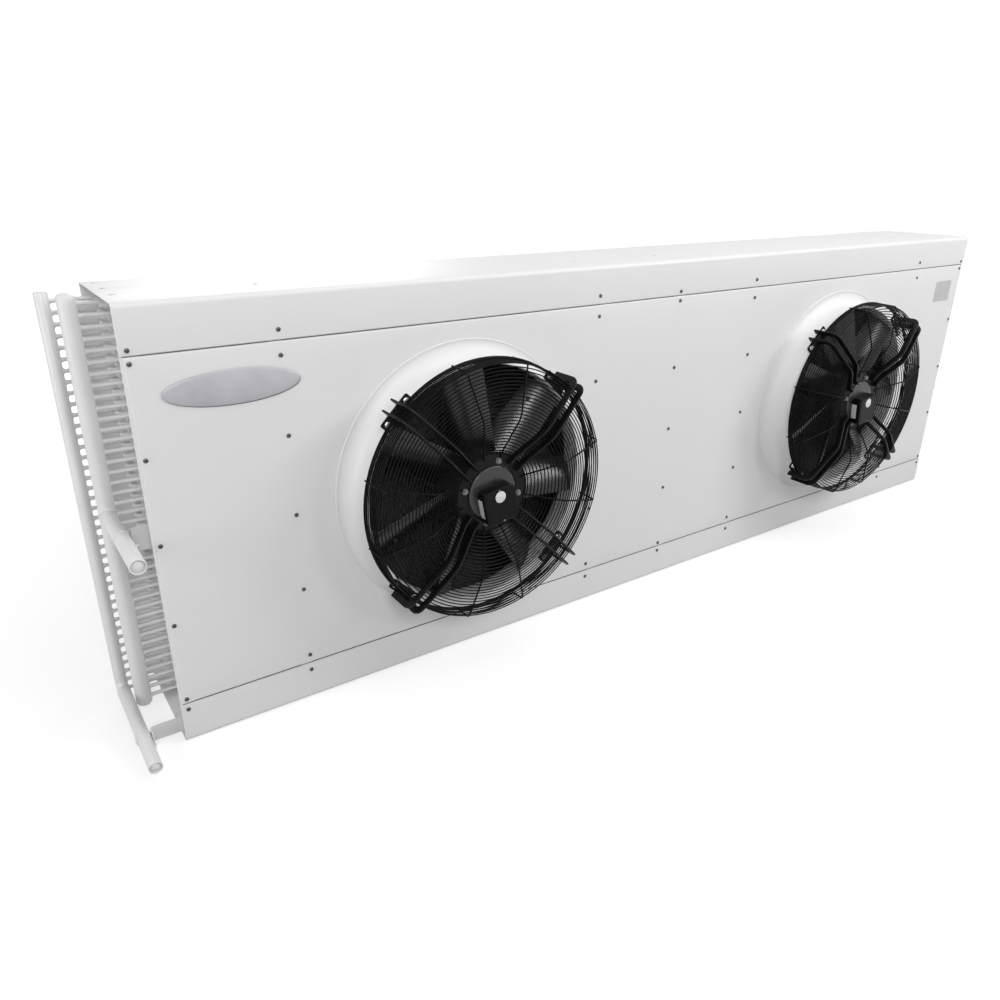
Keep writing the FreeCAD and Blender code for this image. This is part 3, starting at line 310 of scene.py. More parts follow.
# Left back edge
# The left tube sheet's rear flange reaches further out than its front one, behind the headers: a strip of
# the same sheet along the full height, which closes the view past the gas header.
low = np.array((LEFT_END - 0.0215, BACK - 0.0045, 0.003))
span = np.array((0.034, SHEET, TOP - 0.048))
corner_order = np.array(((0, 0), (1, 0), (1, 1), (0, 1)))
back_edge = np.empty((4, 4, 3))
back_edge[..., :2] = np.stack([0.5 + (corner_order - 0.5) * size for size in (0, 1, 1, 0)])
back_edge[..., 2] = np.array((0, 0, 1, 1))[:, None]
make_piece("left_back_edge", [(low + span * back_edge, False, True)], casing_paint)

# Seam strips
# Thin dark strips set into the seams between the fan panel and the strips above and below it: painted shade in the
# gaps.
# Dark colour of the seam strips: painted shade of the gaps.
seam_painted_shade = coat("seam_painted_shade", ((0.10, 0.10, 0.101), (0.15, 0.15, 0.151)), 0.02, (0.6, 0.75), 0.0012, 0.0001)
bar_turn = np.radians(45 + 90 * np.arange(4))
for name, seam_low, seam_high in (("upper_seam_strip", panel_high.z, TOP - STRIP_EDGE),
                                  ("lower_seam_strip", STRIP_EDGE, panel_low.z)):
    section = np.stack((0.002 * np.cos(bar_turn), 0.5 * np.sqrt(2) * (seam_high - seam_low) * np.sin(bar_turn)), axis=1)
    section[:, 0] *= np.sqrt(2) / 2
    strip = np.empty((4, 4, 3))
    strip[..., 0] = np.array((panel_low.x, panel_low.x, panel_high.x, panel_high.x))[:, None]
    strip[..., 1:] = np.array((0, 1, 1, 0))[:, None, None] * section + (PANEL_FRONT + 0.0028, (seam_low + seam_high) / 2)
    make_piece(name, [(strip, False, True)], seam_painted_shade)

# Casing screws
# Dark zinc-plated pan-head screws with a cross recess, through the panels' edges into the uprights
# and the end plates. Each sits on a thin washer face of its own.
SCREW_HEAD, SCREW_HEIGHT = 0.0053, 0.0030
SCREW_LEVELS = np.array((0.69, 0.50, 0.307)) * TOP
screw_steel = coat("screw_dark_zinc", ((0.07, 0.071, 0.073), (0.13, 0.132, 0.135)), 0.004, (0.22, 0.38),
                   0.0006, 0.00003, metallic=0.8)


def stand(shape, places, facing):
    """Copies of a shape at many places. The shape's own axes (a, b, c) become world axes so that c
    points the way the shape faces: front is -Y, back is +Y, up is +Z, left is -X and right is +X.
    """
    a, b, c = np.moveaxis(np.asarray(shape, float), -1, 0)
    turned = {"front": (a, -c, b), "back": (-a, c, b), "up": (a, b, c), "left": (-c, -a, b), "right": (c, a, b)}[facing]
    places = np.reshape(places, (-1, 3))
    return np.stack(turned, axis=-1)[None] + places[:, None, None, :]


def pan_head(radius, height, sides=24, levels=9):
    """Domed screw head with a cross recess: height falls with the square of the distance from the axis,
    and drops by a smooth step where the point lies in one of two crossed slots.
    """
    turn = np.linspace(0, 2 * np.pi, sides, endpoint=False)[:, None]
    out = radius * np.concatenate((np.linspace(0, 0.93, levels), (1.0, 1.0)))
    a, b = out * np.cos(turn), out * np.sin(turn)
    lift = height * (0.55 + 0.45 * (1 - (out / radius) ** 2)) + 0 * turn
    lift[:, -1] = 0
    lift[:, -2] = 0.35 * height
    slot = radius * 0.13
    in_cross = np.minimum(np.abs(a), np.abs(b)) < slot
    lift[in_cross & (np.hypot(a, b) < radius * 0.6)] -= 0.55 * height
    return np.stack((a, b, lift), axis=-1)


head = pan_head(SCREW_HEAD, SCREW_HEIGHT)
WIDE_ROWS, NEAR_ROWS = np.array((0.922, 0.868, 0.124, 0.081)) * TOP, np.array((0.911, 0.885, 0.1135, 0.086)) * TOP
front_places = [(x, PANEL_FRONT, z) for x in SCREW_COLUMNS for z in SCREW_LEVELS]
front_places += [(x, PANEL_FRONT, z) for x in SCREW_COLUMNS[[1, 2, 4, 5]] for z in WIDE_ROWS]
front_places += [(x, PANEL_FRONT, z) for x in SCREW_COLUMNS[[0, 3, 6]] for z in NEAR_ROWS]
top_places = np.column_stack((top_seats, np.full(len(top_seats), TOP - SEAT_DEPTH)))
make_piece("front_screws", [(stand(head, front_places, "front"), True, False)], screw_steel,
           outward=Vector((0, -1, 0)))
make_piece("top_screws", [(stand(head, top_places, "up"), True, False)], screw_steel,
           outward=Vector((0, 0, 1)))

# Plain plates
# A bare foil plate at the right end and a bare domed oval plate at the left end of the fan panel. Behind the oval
# sits a dark plate moved a little right and down: a painted shadow that shows along its lower and right edge.
# Both plates are glued on and carry nothing.
def domed_outline(outline, levels):
    """Closed plate over an outline: each level is (scale of the outline, height), from the back's
    middle round the rim to the front's middle.
    """
    scales, heights = np.array(levels).T
    points = np.empty((len(levels), len(outline), 3))
    points[..., :2] = scales[:, None, None] * outline
    points[..., 2] = heights[:, None]
    return points


def rounded_rectangle(width, height, corner, steps=6):
    """Outline of a rectangle with round corners as (n, 2): four quarter circles about the corners' centres."""
    turn = np.linspace(0, np.pi / 2, steps) + np.arange(4)[:, None] * np.pi / 2
    middles = np.array(((1, 1), (-1, 1), (-1, -1), (1, -1))) * (width / 2 - corner, height / 2 - corner)
    return (middles[:, None] + corner * np.stack((np.cos(turn), np.sin(turn)), axis=-1)).reshape(-1, 2)


OVAL_CENTRE, OVAL_HALF = (-1.3705, PANEL_FRONT, 0.8485), (0.150, 0.040)
oval_face = coat("oval_plate_silver", ((0.42, 0.42, 0.46), (0.50, 0.50, 0.53)), 0.08, (0.3, 0.4), 0.0012, 0.00002)
# Dark colour of the plate behind the oval: painted shadow under the oval's rim.
oval_painted_shadow = coat("oval_plate_painted_shadow", ((0.04, 0.04, 0.07), (0.07, 0.07, 0.10)), 0.03, (0.3, 0.4), 0.001, 0.00002)
turn = np.linspace(0, 2 * np.pi, 96, endpoint=False)
ellipse = np.stack((OVAL_HALF[0] * np.cos(turn), OVAL_HALF[1] * np.sin(turn)), axis=1)
# The dark plate sits 1.2 mm right of and 1.6 mm below the face, so its rim shows there only, as a painted shadow.
make_piece("oval_plate_shadow_rim", [(stand(domed_outline(ellipse * (0.99, 0.97), (
    (0, 0.0), (1, 0.0), (1, 0.0016), (0.99, 0.0022), (0, 0.0022))) + (0.0012, -0.0016, 0), OVAL_CENTRE, "front"),
    False, True)], oval_painted_shadow)
make_piece("oval_plate_face", [(stand(domed_outline(ellipse * (0.99, 0.97), (
    (0, 0.0018), (0.998, 0.0018), (1, 0.0026), (0.992, 0.0034), (0.96, 0.0044), (0.88, 0.0056), (0.7, 0.0072),
    (0.45, 0.0084), (0.2, 0.009), (0, 0.0092))), OVAL_CENTRE, "front"), False, True)], oval_face)
foil = coat("foil_plate_grey", ((0.44, 0.44, 0.445), (0.49, 0.49, 0.495)), 0.03, (0.35, 0.45), 0.0008, 0.00001)
make_piece("foil_plate", [(stand(domed_outline(rounded_rectangle(0.110, 0.079, 0.003), (
    (0, 0.0), (1, 0.0), (1, 0.0005), (0.99, 0.0007), (0, 0.0007))), (1.4725, PANEL_FRONT, 0.8375), "front"),
    False, True)], foil, sharp=8)

# Coil block
# Thin corrugated aluminium fins pressed on copper tubes, stacked from one tube sheet to the other.
# The fins stand on edge, so that air passes between them from the back.
FIN_PITCH, FIN_SHEET, FIN_WAVE = 0.0024, 0.00022, 0.0007
coil_low, coil_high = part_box("fin_pack")
fin_stock = coat("fin_aluminium", ((0.26, 0.264, 0.268), (0.33, 0.334, 0.338)), 0.25, (0.4, 0.55), 0.004, 0.00006,
                 metallic=0.35, specks=(0.02, (0.2, 0.2, 0.196), 0.25), mirror=0.2)
across = np.linspace(coil_low.y, coil_high.y, 9)
zigzag = FIN_WAVE * np.where(np.arange(9) % 2, 1.0, -1.0)
plan = np.concatenate((np.stack((zigzag + FIN_SHEET / 2, across), axis=1),
                       np.stack((zigzag - FIN_SHEET / 2, across), axis=1)[::-1]))
spine = np.concatenate((np.stack((zigzag, across), axis=1), np.stack((zigzag, across), axis=1)[::-1]))
one_fin = np.empty((4, len(plan), 3))
one_fin[..., :2] = np.stack((spine, plan, plan, spine))
one_fin[..., 2] = np.array((coil_low.z, coil_low.z, coil_high.z, coil_high.z))[:, None]
fin_count = int((coil_high.x - coil_low.x - 0.004) / FIN_PITCH)
fin_line = coil_low.x + 0.002 + FIN_PITCH * np.arange(fin_count + 1)
fins = one_fin[None] + np.stack((fin_line, 0 * fin_line, 0 * fin_line), axis=1)[:, None, None, :]
make_piece("coil_fins", [(fins, False, True)], fin_stock, replaces=["fin_pack"])

# Coil tubes
# Tubes through the fins, in four rows of forty, sheathed there by the fins' own aluminium collars. Outside
# the tube sheets they are painted off-white with the rest: U-shaped bends join two rows, and each tube
# leaves its sheet in a short collar.
TUBE_RADIUS, ROW_PITCH, TUBE_PITCH, TUBE_COUNT = 0.00476, 0.022, 0.0254, 40
ROWS = coil_low.y + ROW_PITCH * (np.arange(4) + 0.5)
TUBE_LEVELS = (TOP - (TUBE_COUNT - 1) * TUBE_PITCH) / 2 + TUBE_PITCH * np.arange(TUBE_COUNT)
LEFT_SHEET, RIGHT_SHEET = LEFT_END + 0.033, RIGHT_END - 0.033
pipe_paint = coat("pipe_off_white_paint", ((0.70, 0.705, 0.705), (0.745, 0.748, 0.745)), 0.12, (0.3, 0.42),
                  0.003, 0.00006, specks=(0.004, (0.5, 0.49, 0.46), 0.3))
fin_collars = coat("fin_collar_aluminium", ((0.20, 0.203, 0.206), (0.27, 0.273, 0.276)), 0.05, (0.42, 0.55),
                   0.0024, 0.0001, metallic=0.35, mirror=0.25)


def round_bar(path, radius, side, sides=10, closed=False):
    """Round bar along a path in one plane. Every point of the path carries a circle spanned by the
    plane's normal (side) and the direction square to both it and the path; open ends shrink to a point.
    """
    path = np.asarray(path, float)
    side = np.asarray(side, float)
    along = np.roll(path, -1, axis=0) - np.roll(path, 1, axis=0) if closed else np.gradient(path, axis=0)
    outward = np.cross(along, side)
    outward /= np.linalg.norm(outward, axis=1, keepdims=True)
    turn = np.linspace(0, 2 * np.pi, sides, endpoint=False)[:, None]
    radius = np.broadcast_to(np.asarray(radius, float), len(path))[:, None, None]
    points = path[:, None] + radius * (np.cos(turn) * outward[:, None] + np.sin(turn) * side)
    if closed:
        return points, True, True
    ends = np.repeat(path[[0, -1]], sides, axis=0).reshape(2, sides, 3)
    return np.concatenate((ends[:1], points, ends[1:])), False, True


def spun(profile, sides):
    """Surface of revolution about its own third axis: the profile's (radius, height) carried round a circle."""
    turn = np.linspace(0, 2 * np.pi, sides, endpoint=False)[:, None]
    radius, height = np.asarray(profile, float).T
    return np.stack((radius * np.cos(turn), radius * np.sin(turn), height + 0 * turn), axis=-1)


def shifted(shape, offsets):
    """Copies of a surface moved by each of many offsets."""
    points, closed_rows, closed_columns = shape
    return points[None] + np.atleast_2d(offsets)[:, None, None, :], closed_rows, closed_columns


rod = spun([(0, 0), (TUBE_RADIUS, 0), (TUBE_RADIUS, coil_high.x - coil_low.x), (0, coil_high.x - coil_low.x)], 10)
tube_places = [(coil_low.x, y, z) for y in ROWS for z in TUBE_LEVELS]
make_piece("coil_tubes", [(stand(rod, tube_places, "right"), True, False)], fin_collars)


def return_bend(sheet_x, outward, row):
    """U-shaped tube from one row to the next: a straight, a half circle of half the row pitch and a straight."""
    straight = 0.023 - TUBE_RADIUS - ROW_PITCH / 2
    corner = np.linspace(-np.pi / 2, np.pi / 2, 13)
    x = np.concatenate(((0,), straight + ROW_PITCH / 2 * np.cos(corner), (0,)))
    y = np.concatenate(((-1,), np.sin(corner), (1,))) * ROW_PITCH / 2
    path = np.stack((sheet_x + outward * x, ROWS[row] + ROW_PITCH / 2 + y, 0 * x), axis=1)
    return shifted(round_bar(path, TUBE_RADIUS, (0, 0, 1)), [(0, 0, z) for z in TUBE_LEVELS])


collar = spun([(TUBE_RADIUS, 0.0034), (TUBE_RADIUS + 0.0006, 0.003), (TUBE_RADIUS + 0.0012, 0.0012),
               (TUBE_RADIUS + 0.0024, 0)], 14)
left_collars = stand(collar, [(LEFT_SHEET, y, z) for y in ROWS for z in TUBE_LEVELS], "left")
right_collars = stand(collar, [(RIGHT_SHEET, y, z) for y in ROWS for z in TUBE_LEVELS], "right")
make_piece("left_u_bends", [return_bend(LEFT_SHEET, -1, 1), (left_collars, True, False)], pipe_paint,
           replaces=["left_return_bends"])
make_piece("right_u_bends", [return_bend(RIGHT_SHEET, 1, 0), return_bend(RIGHT_SHEET, 1, 2),
                             (right_collars, True, False)], pipe_paint,
           replaces=["right_return_bends"])

# Headers and feed tubes
# Copper pipes painted off-white: a gas header with spun ends, a liquid header whose foot turns forward
# in an elbow, and from each of them forty short feed tubes brazed in with a small fillet.
GAS_X, GAS_RADIUS, LIQUID_X, LIQUID_RADIUS = LEFT_END - 0.050, 0.019, LEFT_END - 0.088, 0.0143
LIQUID_LEVEL, ELBOW = 0.032, 0.022
gas_low, gas_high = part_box("gas_header")
bowl = np.linspace(0, np.pi / 2, 8)
foot = np.stack((GAS_RADIUS * np.sin(bowl), gas_low.z + 0.013 * (1 - np.cos(bowl))), axis=1)
crown = np.stack((GAS_RADIUS * np.cos(bowl), gas_high.z - 0.009 * (1 - np.sin(bowl))), axis=1)
header_profile = np.concatenate((foot, crown))
gas_pipe = spun(header_profile, 48) + (GAS_X, ROWS[0], 0)


def feed_tubes(header_x, header_radius, row):
    """Forty straight tubes: from the header's wall, through a braze fillet there, to the tube sheet's face."""
    start, end = header_radius * 0.9, LEFT_SHEET - header_x
    profile = [(0, start), (TUBE_RADIUS + 0.0026, start), (TUBE_RADIUS + 0.0022, header_radius + 0.0006),
               (TUBE_RADIUS + 0.0009, header_radius + 0.0022), (TUBE_RADIUS, header_radius + 0.0042),
               (TUBE_RADIUS, end), (0, end)]
    places = [(header_x, row, z) for z in TUBE_LEVELS]
    return stand(spun(profile, 14), places, "right"), True, False


make_piece("gas_header_pipe", [(gas_pipe, True, False)], pipe_paint, replaces=["gas_header"])
make_piece("gas_feeds", [feed_tubes(GAS_X, GAS_RADIUS, ROWS[0])], pipe_paint,
           replaces=["gas_feed_tubes"])
make_piece("liquid_feeds", [feed_tubes(LIQUID_X, LIQUID_RADIUS, ROWS[3])], pipe_paint,
           replaces=["liquid_feed_tubes"])
liquid_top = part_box("liquid_header")[1].z
lowering = np.array((liquid_top - 0.0002, liquid_top - 0.003, LIQUID_LEVEL + 0.3))
bend = np.linspace(0, np.pi / 2, 14)
route_y = np.concatenate((0 * lowering, -ELBOW * (1 - np.cos(bend)), (-ELBOW - 0.012,)))
route_z = np.concatenate((lowering, LIQUID_LEVEL + ELBOW * (1 - np.sin(bend)), (LIQUID_LEVEL,)))
route = np.stack((LIQUID_X + 0 * route_y, ROWS[3] + route_y, route_z), axis=1)
widths = np.full(len(route), LIQUID_RADIUS)
widths[0] -= 0.0016
make_piece("liquid_header_pipe", [round_bar(route, widths, (1, 0, 0), 40)], pipe_paint,
           replaces=["liquid_header"])

# Pipe stubs
# The two stubs point forward and are closed for delivery by pressed plugs, domed and set a little way
# into their mouths. The gas stub is brazed to its header with a bead, and the liquid stub is expanded
# over the foot of its own.
GAS_STUB_RADIUS, LIQUID_STUB_RADIUS, PIPE_WALL = 0.01745, 0.0159, 0.0024


def plugged_stub(radius, length, root):
    """Profile of a stub and its plug: the root's points, the outside, a rounded mouth of the pipe's wall,
    the bore down to a groove, and the plug's dome.
    """
    lip = np.linspace(0, np.pi, 7)
    mouth = np.stack((radius - PIPE_WALL / 2 * (1 - np.cos(lip)), length + PIPE_WALL / 2 * (np.sin(lip) - 1)), axis=1)
    plug_radius = radius - PIPE_WALL
    swell = np.linspace(0, np.pi / 2, 9)
    dome = np.stack((plug_radius * 0.86 * np.cos(swell), length - 0.0072 + 0.0060 * np.sin(swell)), axis=1)
    bore = [(plug_radius, length - 0.0072), (plug_radius * 0.94, length - 0.0080)]
    return np.concatenate((root, mouth, bore, dome))


gas_mouth, liquid_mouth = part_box("gas_inlet_stub")[0].y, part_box("liquid_outlet_stub")[0].y
gas_level = 0.535
gas_root = ROWS[0] - GAS_RADIUS * 0.5
fillet_turn = np.linspace(0, 2 * np.pi, 40, endpoint=False)
fillet_ring = GAS_STUB_RADIUS + 0.0012
saddle = np.stack((GAS_X + fillet_ring * np.cos(fillet_turn),
                   ROWS[0] - np.sqrt(np.maximum(GAS_RADIUS ** 2 - (fillet_ring * np.cos(fillet_turn)) ** 2, 0)) - 0.0005,
                   gas_level + fillet_ring * np.sin(fillet_turn)), axis=1)
ring_out = saddle - (GAS_X, ROWS[0], gas_level)
ring_out[:, 1] = 0
ring_out /= np.linalg.norm(ring_out, axis=1, keepdims=True)
bead_turn = np.linspace(0, 2 * np.pi, 8, endpoint=False)[:, None]
bead = saddle[:, None] + 0.0022 * (np.cos(bead_turn) * ring_out[:, None] + np.sin(bead_turn) * np.array((0, -1, 0)))
make_piece("gas_stub", [
    (stand(spun(plugged_stub(GAS_STUB_RADIUS, gas_root - gas_mouth, [(0, 0), (GAS_STUB_RADIUS, 0)]), 56),
           (GAS_X, gas_root, gas_level), "front"), True, False),
    (bead, True, True)], pipe_paint, replaces=["gas_inlet_stub"])
liquid_root = ROWS[3] - ELBOW - 0.001
socket = [(0, 0), (LIQUID_RADIUS + 0.0002, 0), (LIQUID_RADIUS + 0.0007, 0.0008),
          (LIQUID_STUB_RADIUS, 0.0045)]
make_piece("liquid_stub", [
    (stand(spun(plugged_stub(LIQUID_STUB_RADIUS, liquid_root - liquid_mouth, socket), 48),
           (LIQUID_X, liquid_root, LIQUID_LEVEL), "front"), True, False)],
    pipe_paint, replaces=["liquid_outlet_stub"])

# Pipe brackets and clips
# Strips of 3 mm steel folded at both ends and powder coated: screwed to the tube sheet at one end,
# and to a round pipe clip at the other, with a zinc-plated bolt and nut through the clip's tail.
BRACKET_SHEET, EAR, CLIP_SHEET, CLIP_WIDTH, CLIP_CLEARANCE = 0.003, 0.032, 0.002, 0.016, 0.0002
bracket_paint = coat("bracket_powder_coat", ((0.705, 0.71, 0.71), (0.74, 0.742, 0.74)), 0.15, (0.36, 0.48),
                     0.002, 0.00005)
bright_zinc = coat("bright_zinc", ((0.62, 0.63, 0.64), (0.80, 0.80, 0.79)), 0.006, (0.22, 0.38), 0.0008, 0.00002,
                   metallic=1.0)


def bracket_strip(pipe_x, pipe_radius, depth, low, height):
    """Folded strip: a three-run line in plan with eased folds, its wall, and flat top and bottom rims."""
    beside = pipe_x + pipe_radius + CLIP_CLEARANCE + CLIP_SHEET
    plate = PANEL_FRONT + depth + BRACKET_SHEET
    line = eased_line([(LEFT_SHEET, plate - BRACKET_SHEET - EAR), (LEFT_SHEET, plate), (beside, plate),
                       (beside, plate - BRACKET_SHEET - EAR)], (0.006, 0.006), 7)
    outer, inner = wall_loop(line, BRACKET_SHEET)
    loop = np.concatenate((outer, inner[::-1]))
    edge = 0.0006
    skin = np.empty((2, len(loop), 3))
    skin[..., :2], skin[..., 2] = loop, np.array((low + edge, low + height - edge))[:, None]
    rims = np.empty((2, 2, len(line), 3))
    rims[..., :2] = np.stack((outer, inner))
    rims[0, ..., 2], rims[1, ..., 2] = low + edge, low + height - edge
    return [(skin, False, True), (rims, False, False)]


def band_clip(pipe_x, pipe_z, pipe_radius, depth):
    """Round band about the pipe with rounded edges, and a flat tail that hangs beside the pipe."""
    inner, outer = pipe_radius + CLIP_CLEARANCE, pipe_radius + CLIP_CLEARANCE + CLIP_SHEET
    half, soft = CLIP_WIDTH / 2, 0.0006
    section = [(inner, -half), (outer - soft, -half), (outer, -half + soft), (outer, half - soft),
               (outer - soft, half), (inner, half)]
    middle = (pipe_x, PANEL_FRONT + depth - EAR / 2, pipe_z)
    band = stand(spun(section, 48), middle, "front")
    length = pipe_radius + 0.014
    tail = domed_outline(rounded_rectangle(CLIP_WIDTH, length, 0.004),
                         ((0, 0), (1, 0), (1, CLIP_SHEET), (0, CLIP_SHEET)))
    place = (pipe_x + inner, middle[1], pipe_z - length / 2)
    return [(band, True, True), (stand(tail, place, "right"), False, True)], (pipe_x, middle[1], pipe_z - pipe_radius - 0.0075)


def hexagon(across_flats, height, chamfer=0.12, steps=8):
    """Hexagon head: at each height the outline is the smaller of a hexagon and a circle that narrows to the top."""
    turn = np.linspace(0, 2 * np.pi, 6 * steps, endpoint=False)[:, None]
    six = across_flats / 2 / np.cos((turn + np.pi / 6) % (np.pi / 3) - np.pi / 6)
    reach = across_flats * 0.578
    limits = np.array((0, 2, 2, reach / across_flats * 2, 1.0, 0.86, 0)) * across_flats / 2
    heights = np.array((0, 0, 1 - 2.2 * chamfer, 1 - chamfer, 1, 1, 1)) * height
    limits[1:3] = 2
    radius = np.minimum(six, limits)
    return np.stack((radius * np.cos(turn), radius * np.sin(turn), heights + 0 * turn), axis=-1)


def washer_disc(radius, thickness):
    """Flat washer: a disc whose rim is eased on both faces."""
    ease = min(0.0004, thickness / 3)
    return spun([(0, 0), (radius - ease, 0), (radius, ease), (radius, thickness - ease),
                 (radius - ease, thickness), (0, thickness)], 32)


clip_parts, bolt_parts, bracket_parts = [], [], []
for pipe_x, pipe_z, pipe_radius, depth, low, height in (
        (GAS_X, gas_level, GAS_STUB_RADIUS, 0.072, gas_level + 0.012 - 0.058, 0.058),
        (LIQUID_X, LIQUID_LEVEL, LIQUID_STUB_RADIUS, 0.042, 0.004, 0.042)):
    clip, bolt_place = band_clip(pipe_x, pipe_z, pipe_radius, depth)
    clip_parts += clip
    bracket_parts.append(bracket_strip(pipe_x, pipe_radius, depth, low, height))
    tail_face = pipe_x + pipe_radius + CLIP_CLEARANCE
    ear_face = tail_face + CLIP_SHEET + BRACKET_SHEET
    head_place, nut_place = (tail_face, *bolt_place[1:]), (ear_face, *bolt_place[1:])
    bolt_parts += [(stand(washer_disc(0.0055, 0.001), nut_place, "right"), True, False),
                   (stand(hexagon(0.0085, 0.0045) + (0, 0, 0.001), nut_place, "right"), True, False),
                   (stand(spun([(0, 0), (0.0025, 0), (0.0025, 0.009), (0.0020, 0.0096), (0, 0.0096)], 16),
                          nut_place, "right"), True, False),
                   (stand(pan_head(0.0045, 0.0024), head_place, "left"), True, False)]
make_piece("gas_bracket", bracket_parts[0], bracket_paint, replaces=["gas_stub_bracket"])
make_piece("liquid_bracket", bracket_parts[1], bracket_paint,
           replaces=["liquid_stub_bracket"])
make_piece("pipe_clips", clip_parts, bracket_paint, replaces=["stub_clips"])
make_piece("clip_bolts", bolt_parts, bright_zinc)

# Bellmouths
# Spun steel inlet rings in the casing's powder coat: a concave flare that rises from a beaded foot on
# the fan panel, a straight throat and a rolled lip, with four tabs for the guard's feet.
BELL_RADIUS, THROAT, FLARE, BELL_DEPTH, BELL_SHEET = 0.369, 0.319, 0.042, 0.086, 0.002
TAB_REACH, TAB_WIDTH = 0.3475, 0.100
ARM_ANGLES = np.array((45, 135, 225, 315))


def on_fan(shape, fan_x, angles):
    """Copies of a shape about a fan's axis. The shape's points are (out from the axis, sideways,
    forward of the fan panel), and each copy is turned by its own angle, anticlockwise from the front.
    """
    out, side, forward = np.moveaxis(np.asarray(shape, float), -1, 0)
    angle = np.radians(np.atleast_1d(angles))[:, None, None]
    x = fan_x + out * np.cos(angle) - side * np.sin(angle)
    z = FAN_HEIGHT + out * np.sin(angle) + side * np.cos(angle)
    return np.stack((x, np.broadcast_to(PANEL_FRONT - forward, x.shape), z), axis=-1)


def bell_section():
    """Closed (radius, forward) section: a beaded foot, a quarter ellipse, the throat's outside, a rolled
    lip and the same way back on the inside.
    """
    quarter = np.linspace(0, np.pi / 2, 16)
    bead = np.linspace(-np.pi * 0.35, np.pi * 0.8, 7)
    foot = np.stack((BELL_RADIUS - 0.0022 + 0.0022 * np.cos(bead), 0.0014 + 0.0022 * np.sin(bead)), axis=1)
    foot[:, 1] = np.maximum(foot[:, 1], 0)
    width, neck = BELL_RADIUS - 0.0075 - THROAT - BELL_SHEET, THROAT + BELL_SHEET
    outside = np.stack((neck + width * (1 - np.sin(quarter)), BELL_SHEET + FLARE * (1 - np.cos(quarter))), axis=1)
    roll = np.linspace(0, np.pi, 9)
    lip = np.stack((THROAT + 0.0012 + 0.0018 * np.cos(roll), BELL_DEPTH - 0.002 + 0.0018 * np.sin(roll)), axis=1)
    width += BELL_SHEET
    inside = np.stack((THROAT + width * (1 - np.sin(quarter)), FLARE * (1 - np.cos(quarter))), axis=1)[::-1]
    return np.concatenate((foot, outside, lip, inside, [(BELL_RADIUS - 0.004, 0)]))


def corner_plate(near, far, width, back, thickness, corner):
    """Flat plate square to the fan's axis, from near to far out from it, with eased rims and round corners."""
    outline = rounded_rectangle(far - near, width, corner)
    ease = 0.0005 / (far - near) * 2
    plate = domed_outline(outline, ((0, 0), (1 - ease, 0), (1, 0.0005), (1, thickness - 0.0005),
                                    (1 - ease, thickness), (0, thickness)))
    return plate + ((near + far) / 2, 0, back)


bell_parts = []
for fan_x in FAN_LINES.values():
    bell_parts.append((on_fan(spun(bell_section(), 200), fan_x, 0), True, True))
    tab = corner_plate(THROAT + BELL_SHEET / 2, TAB_REACH, TAB_WIDTH, BELL_DEPTH - BELL_SHEET, BELL_SHEET, 0.006)
    bell_parts.append((on_fan(tab, fan_x, ARM_ANGLES), False, True))
make_piece("bellmouth_rings", bell_parts, casing_paint, replaces=["bellmouths"])

# Wire guards
# Black powder-coated steel wire: eight light spokes bent at the hub, the crown and the rim, with the
# rings spot-welded behind them from the hub to the rim and down the side to the heavy rear ring.
HUB_RIM, HUB_FRONT, CROWN, CROWN_FRONT = 0.104, 0.136, 0.208, 0.183
RIM, RIM_FRONT, REAR_RING, REAR_FRONT = 0.339, 0.160, 0.341, 0.102
SPOKE_WIRE, RING_WIRE, FRONT_RINGS, SIDE_RINGS = 0.0022, 0.00155, 27, 5
SPOKE_ANGLES = np.array((15, 75, 105, 165, 195, 255, 285, 345))
guard_black = coat("guard_black_coat", ((0.004, 0.004, 0.0042), (0.008, 0.008, 0.0085)), 0.06, (0.26, 0.4),
                   0.0018, 0.00003, specks=(0.005, (0.015, 0.0145, 0.014), 0.3), mirror=0.05)


def fan_line(line):
    """A line of (out, forward) points as (out, 0, forward) points."""
    return np.stack((line[:, 0], 0 * line[:, 0], line[:, 1]), axis=1)


spoke_line = eased_line(
    [(HUB_RIM - 0.012, HUB_FRONT + SPOKE_WIRE), (HUB_RIM + 0.002, HUB_FRONT + SPOKE_WIRE), (CROWN, CROWN_FRONT),
     (RIM, RIM_FRONT), (REAR_RING, REAR_FRONT - 0.008)], (0.012, 0.05, 0.012), 9)
spoke = round_bar(fan_line(spoke_line), SPOKE_WIRE, (0, 1, 0), 10)[0]
lead = eased_line([(HUB_RIM, HUB_FRONT + SPOKE_WIRE), (CROWN, CROWN_FRONT), (RIM, RIM_FRONT)], (0.05,), 24)
ring_radii = np.linspace(HUB_RIM + 0.0075, RIM - 0.0035, FRONT_RINGS)
ring_fronts = np.interp(ring_radii, lead[:, 0], lead[:, 1]) - SPOKE_WIRE - RING_WIRE * 0.9
side_fronts = np.linspace(RIM_FRONT - 0.010, REAR_FRONT + 0.011, SIDE_RINGS)
side_radii = np.full(SIDE_RINGS, RIM - SPOKE_WIRE - RING_WIRE * 0.9)


def hoops(radii, fronts, wire, segments=144, sides=7):
    """Rings of round wire about the fan's axis, one for each radius and forward place: a small circle
    carried round a large one.
    """
    turn = np.linspace(0, 2 * np.pi, segments, endpoint=False)[:, None]
    small = np.linspace(0, 2 * np.pi, sides, endpoint=False)
    radius = np.asarray(radii)[:, None, None] + wire * np.cos(small)
    forward = np.asarray(fronts)[:, None, None] + wire * np.sin(small) + 0 * turn
    return np.stack((radius * np.cos(turn), radius * np.sin(turn), forward), axis=-1)


def hoops_on_fan(shapes, fan_x):
    """The same hoops moved to a fan's axis and panel."""
    x, z, forward = np.moveaxis(shapes, -1, 0)
    return np.stack((fan_x + x, PANEL_FRONT - forward, FAN_HEIGHT + z), axis=-1)


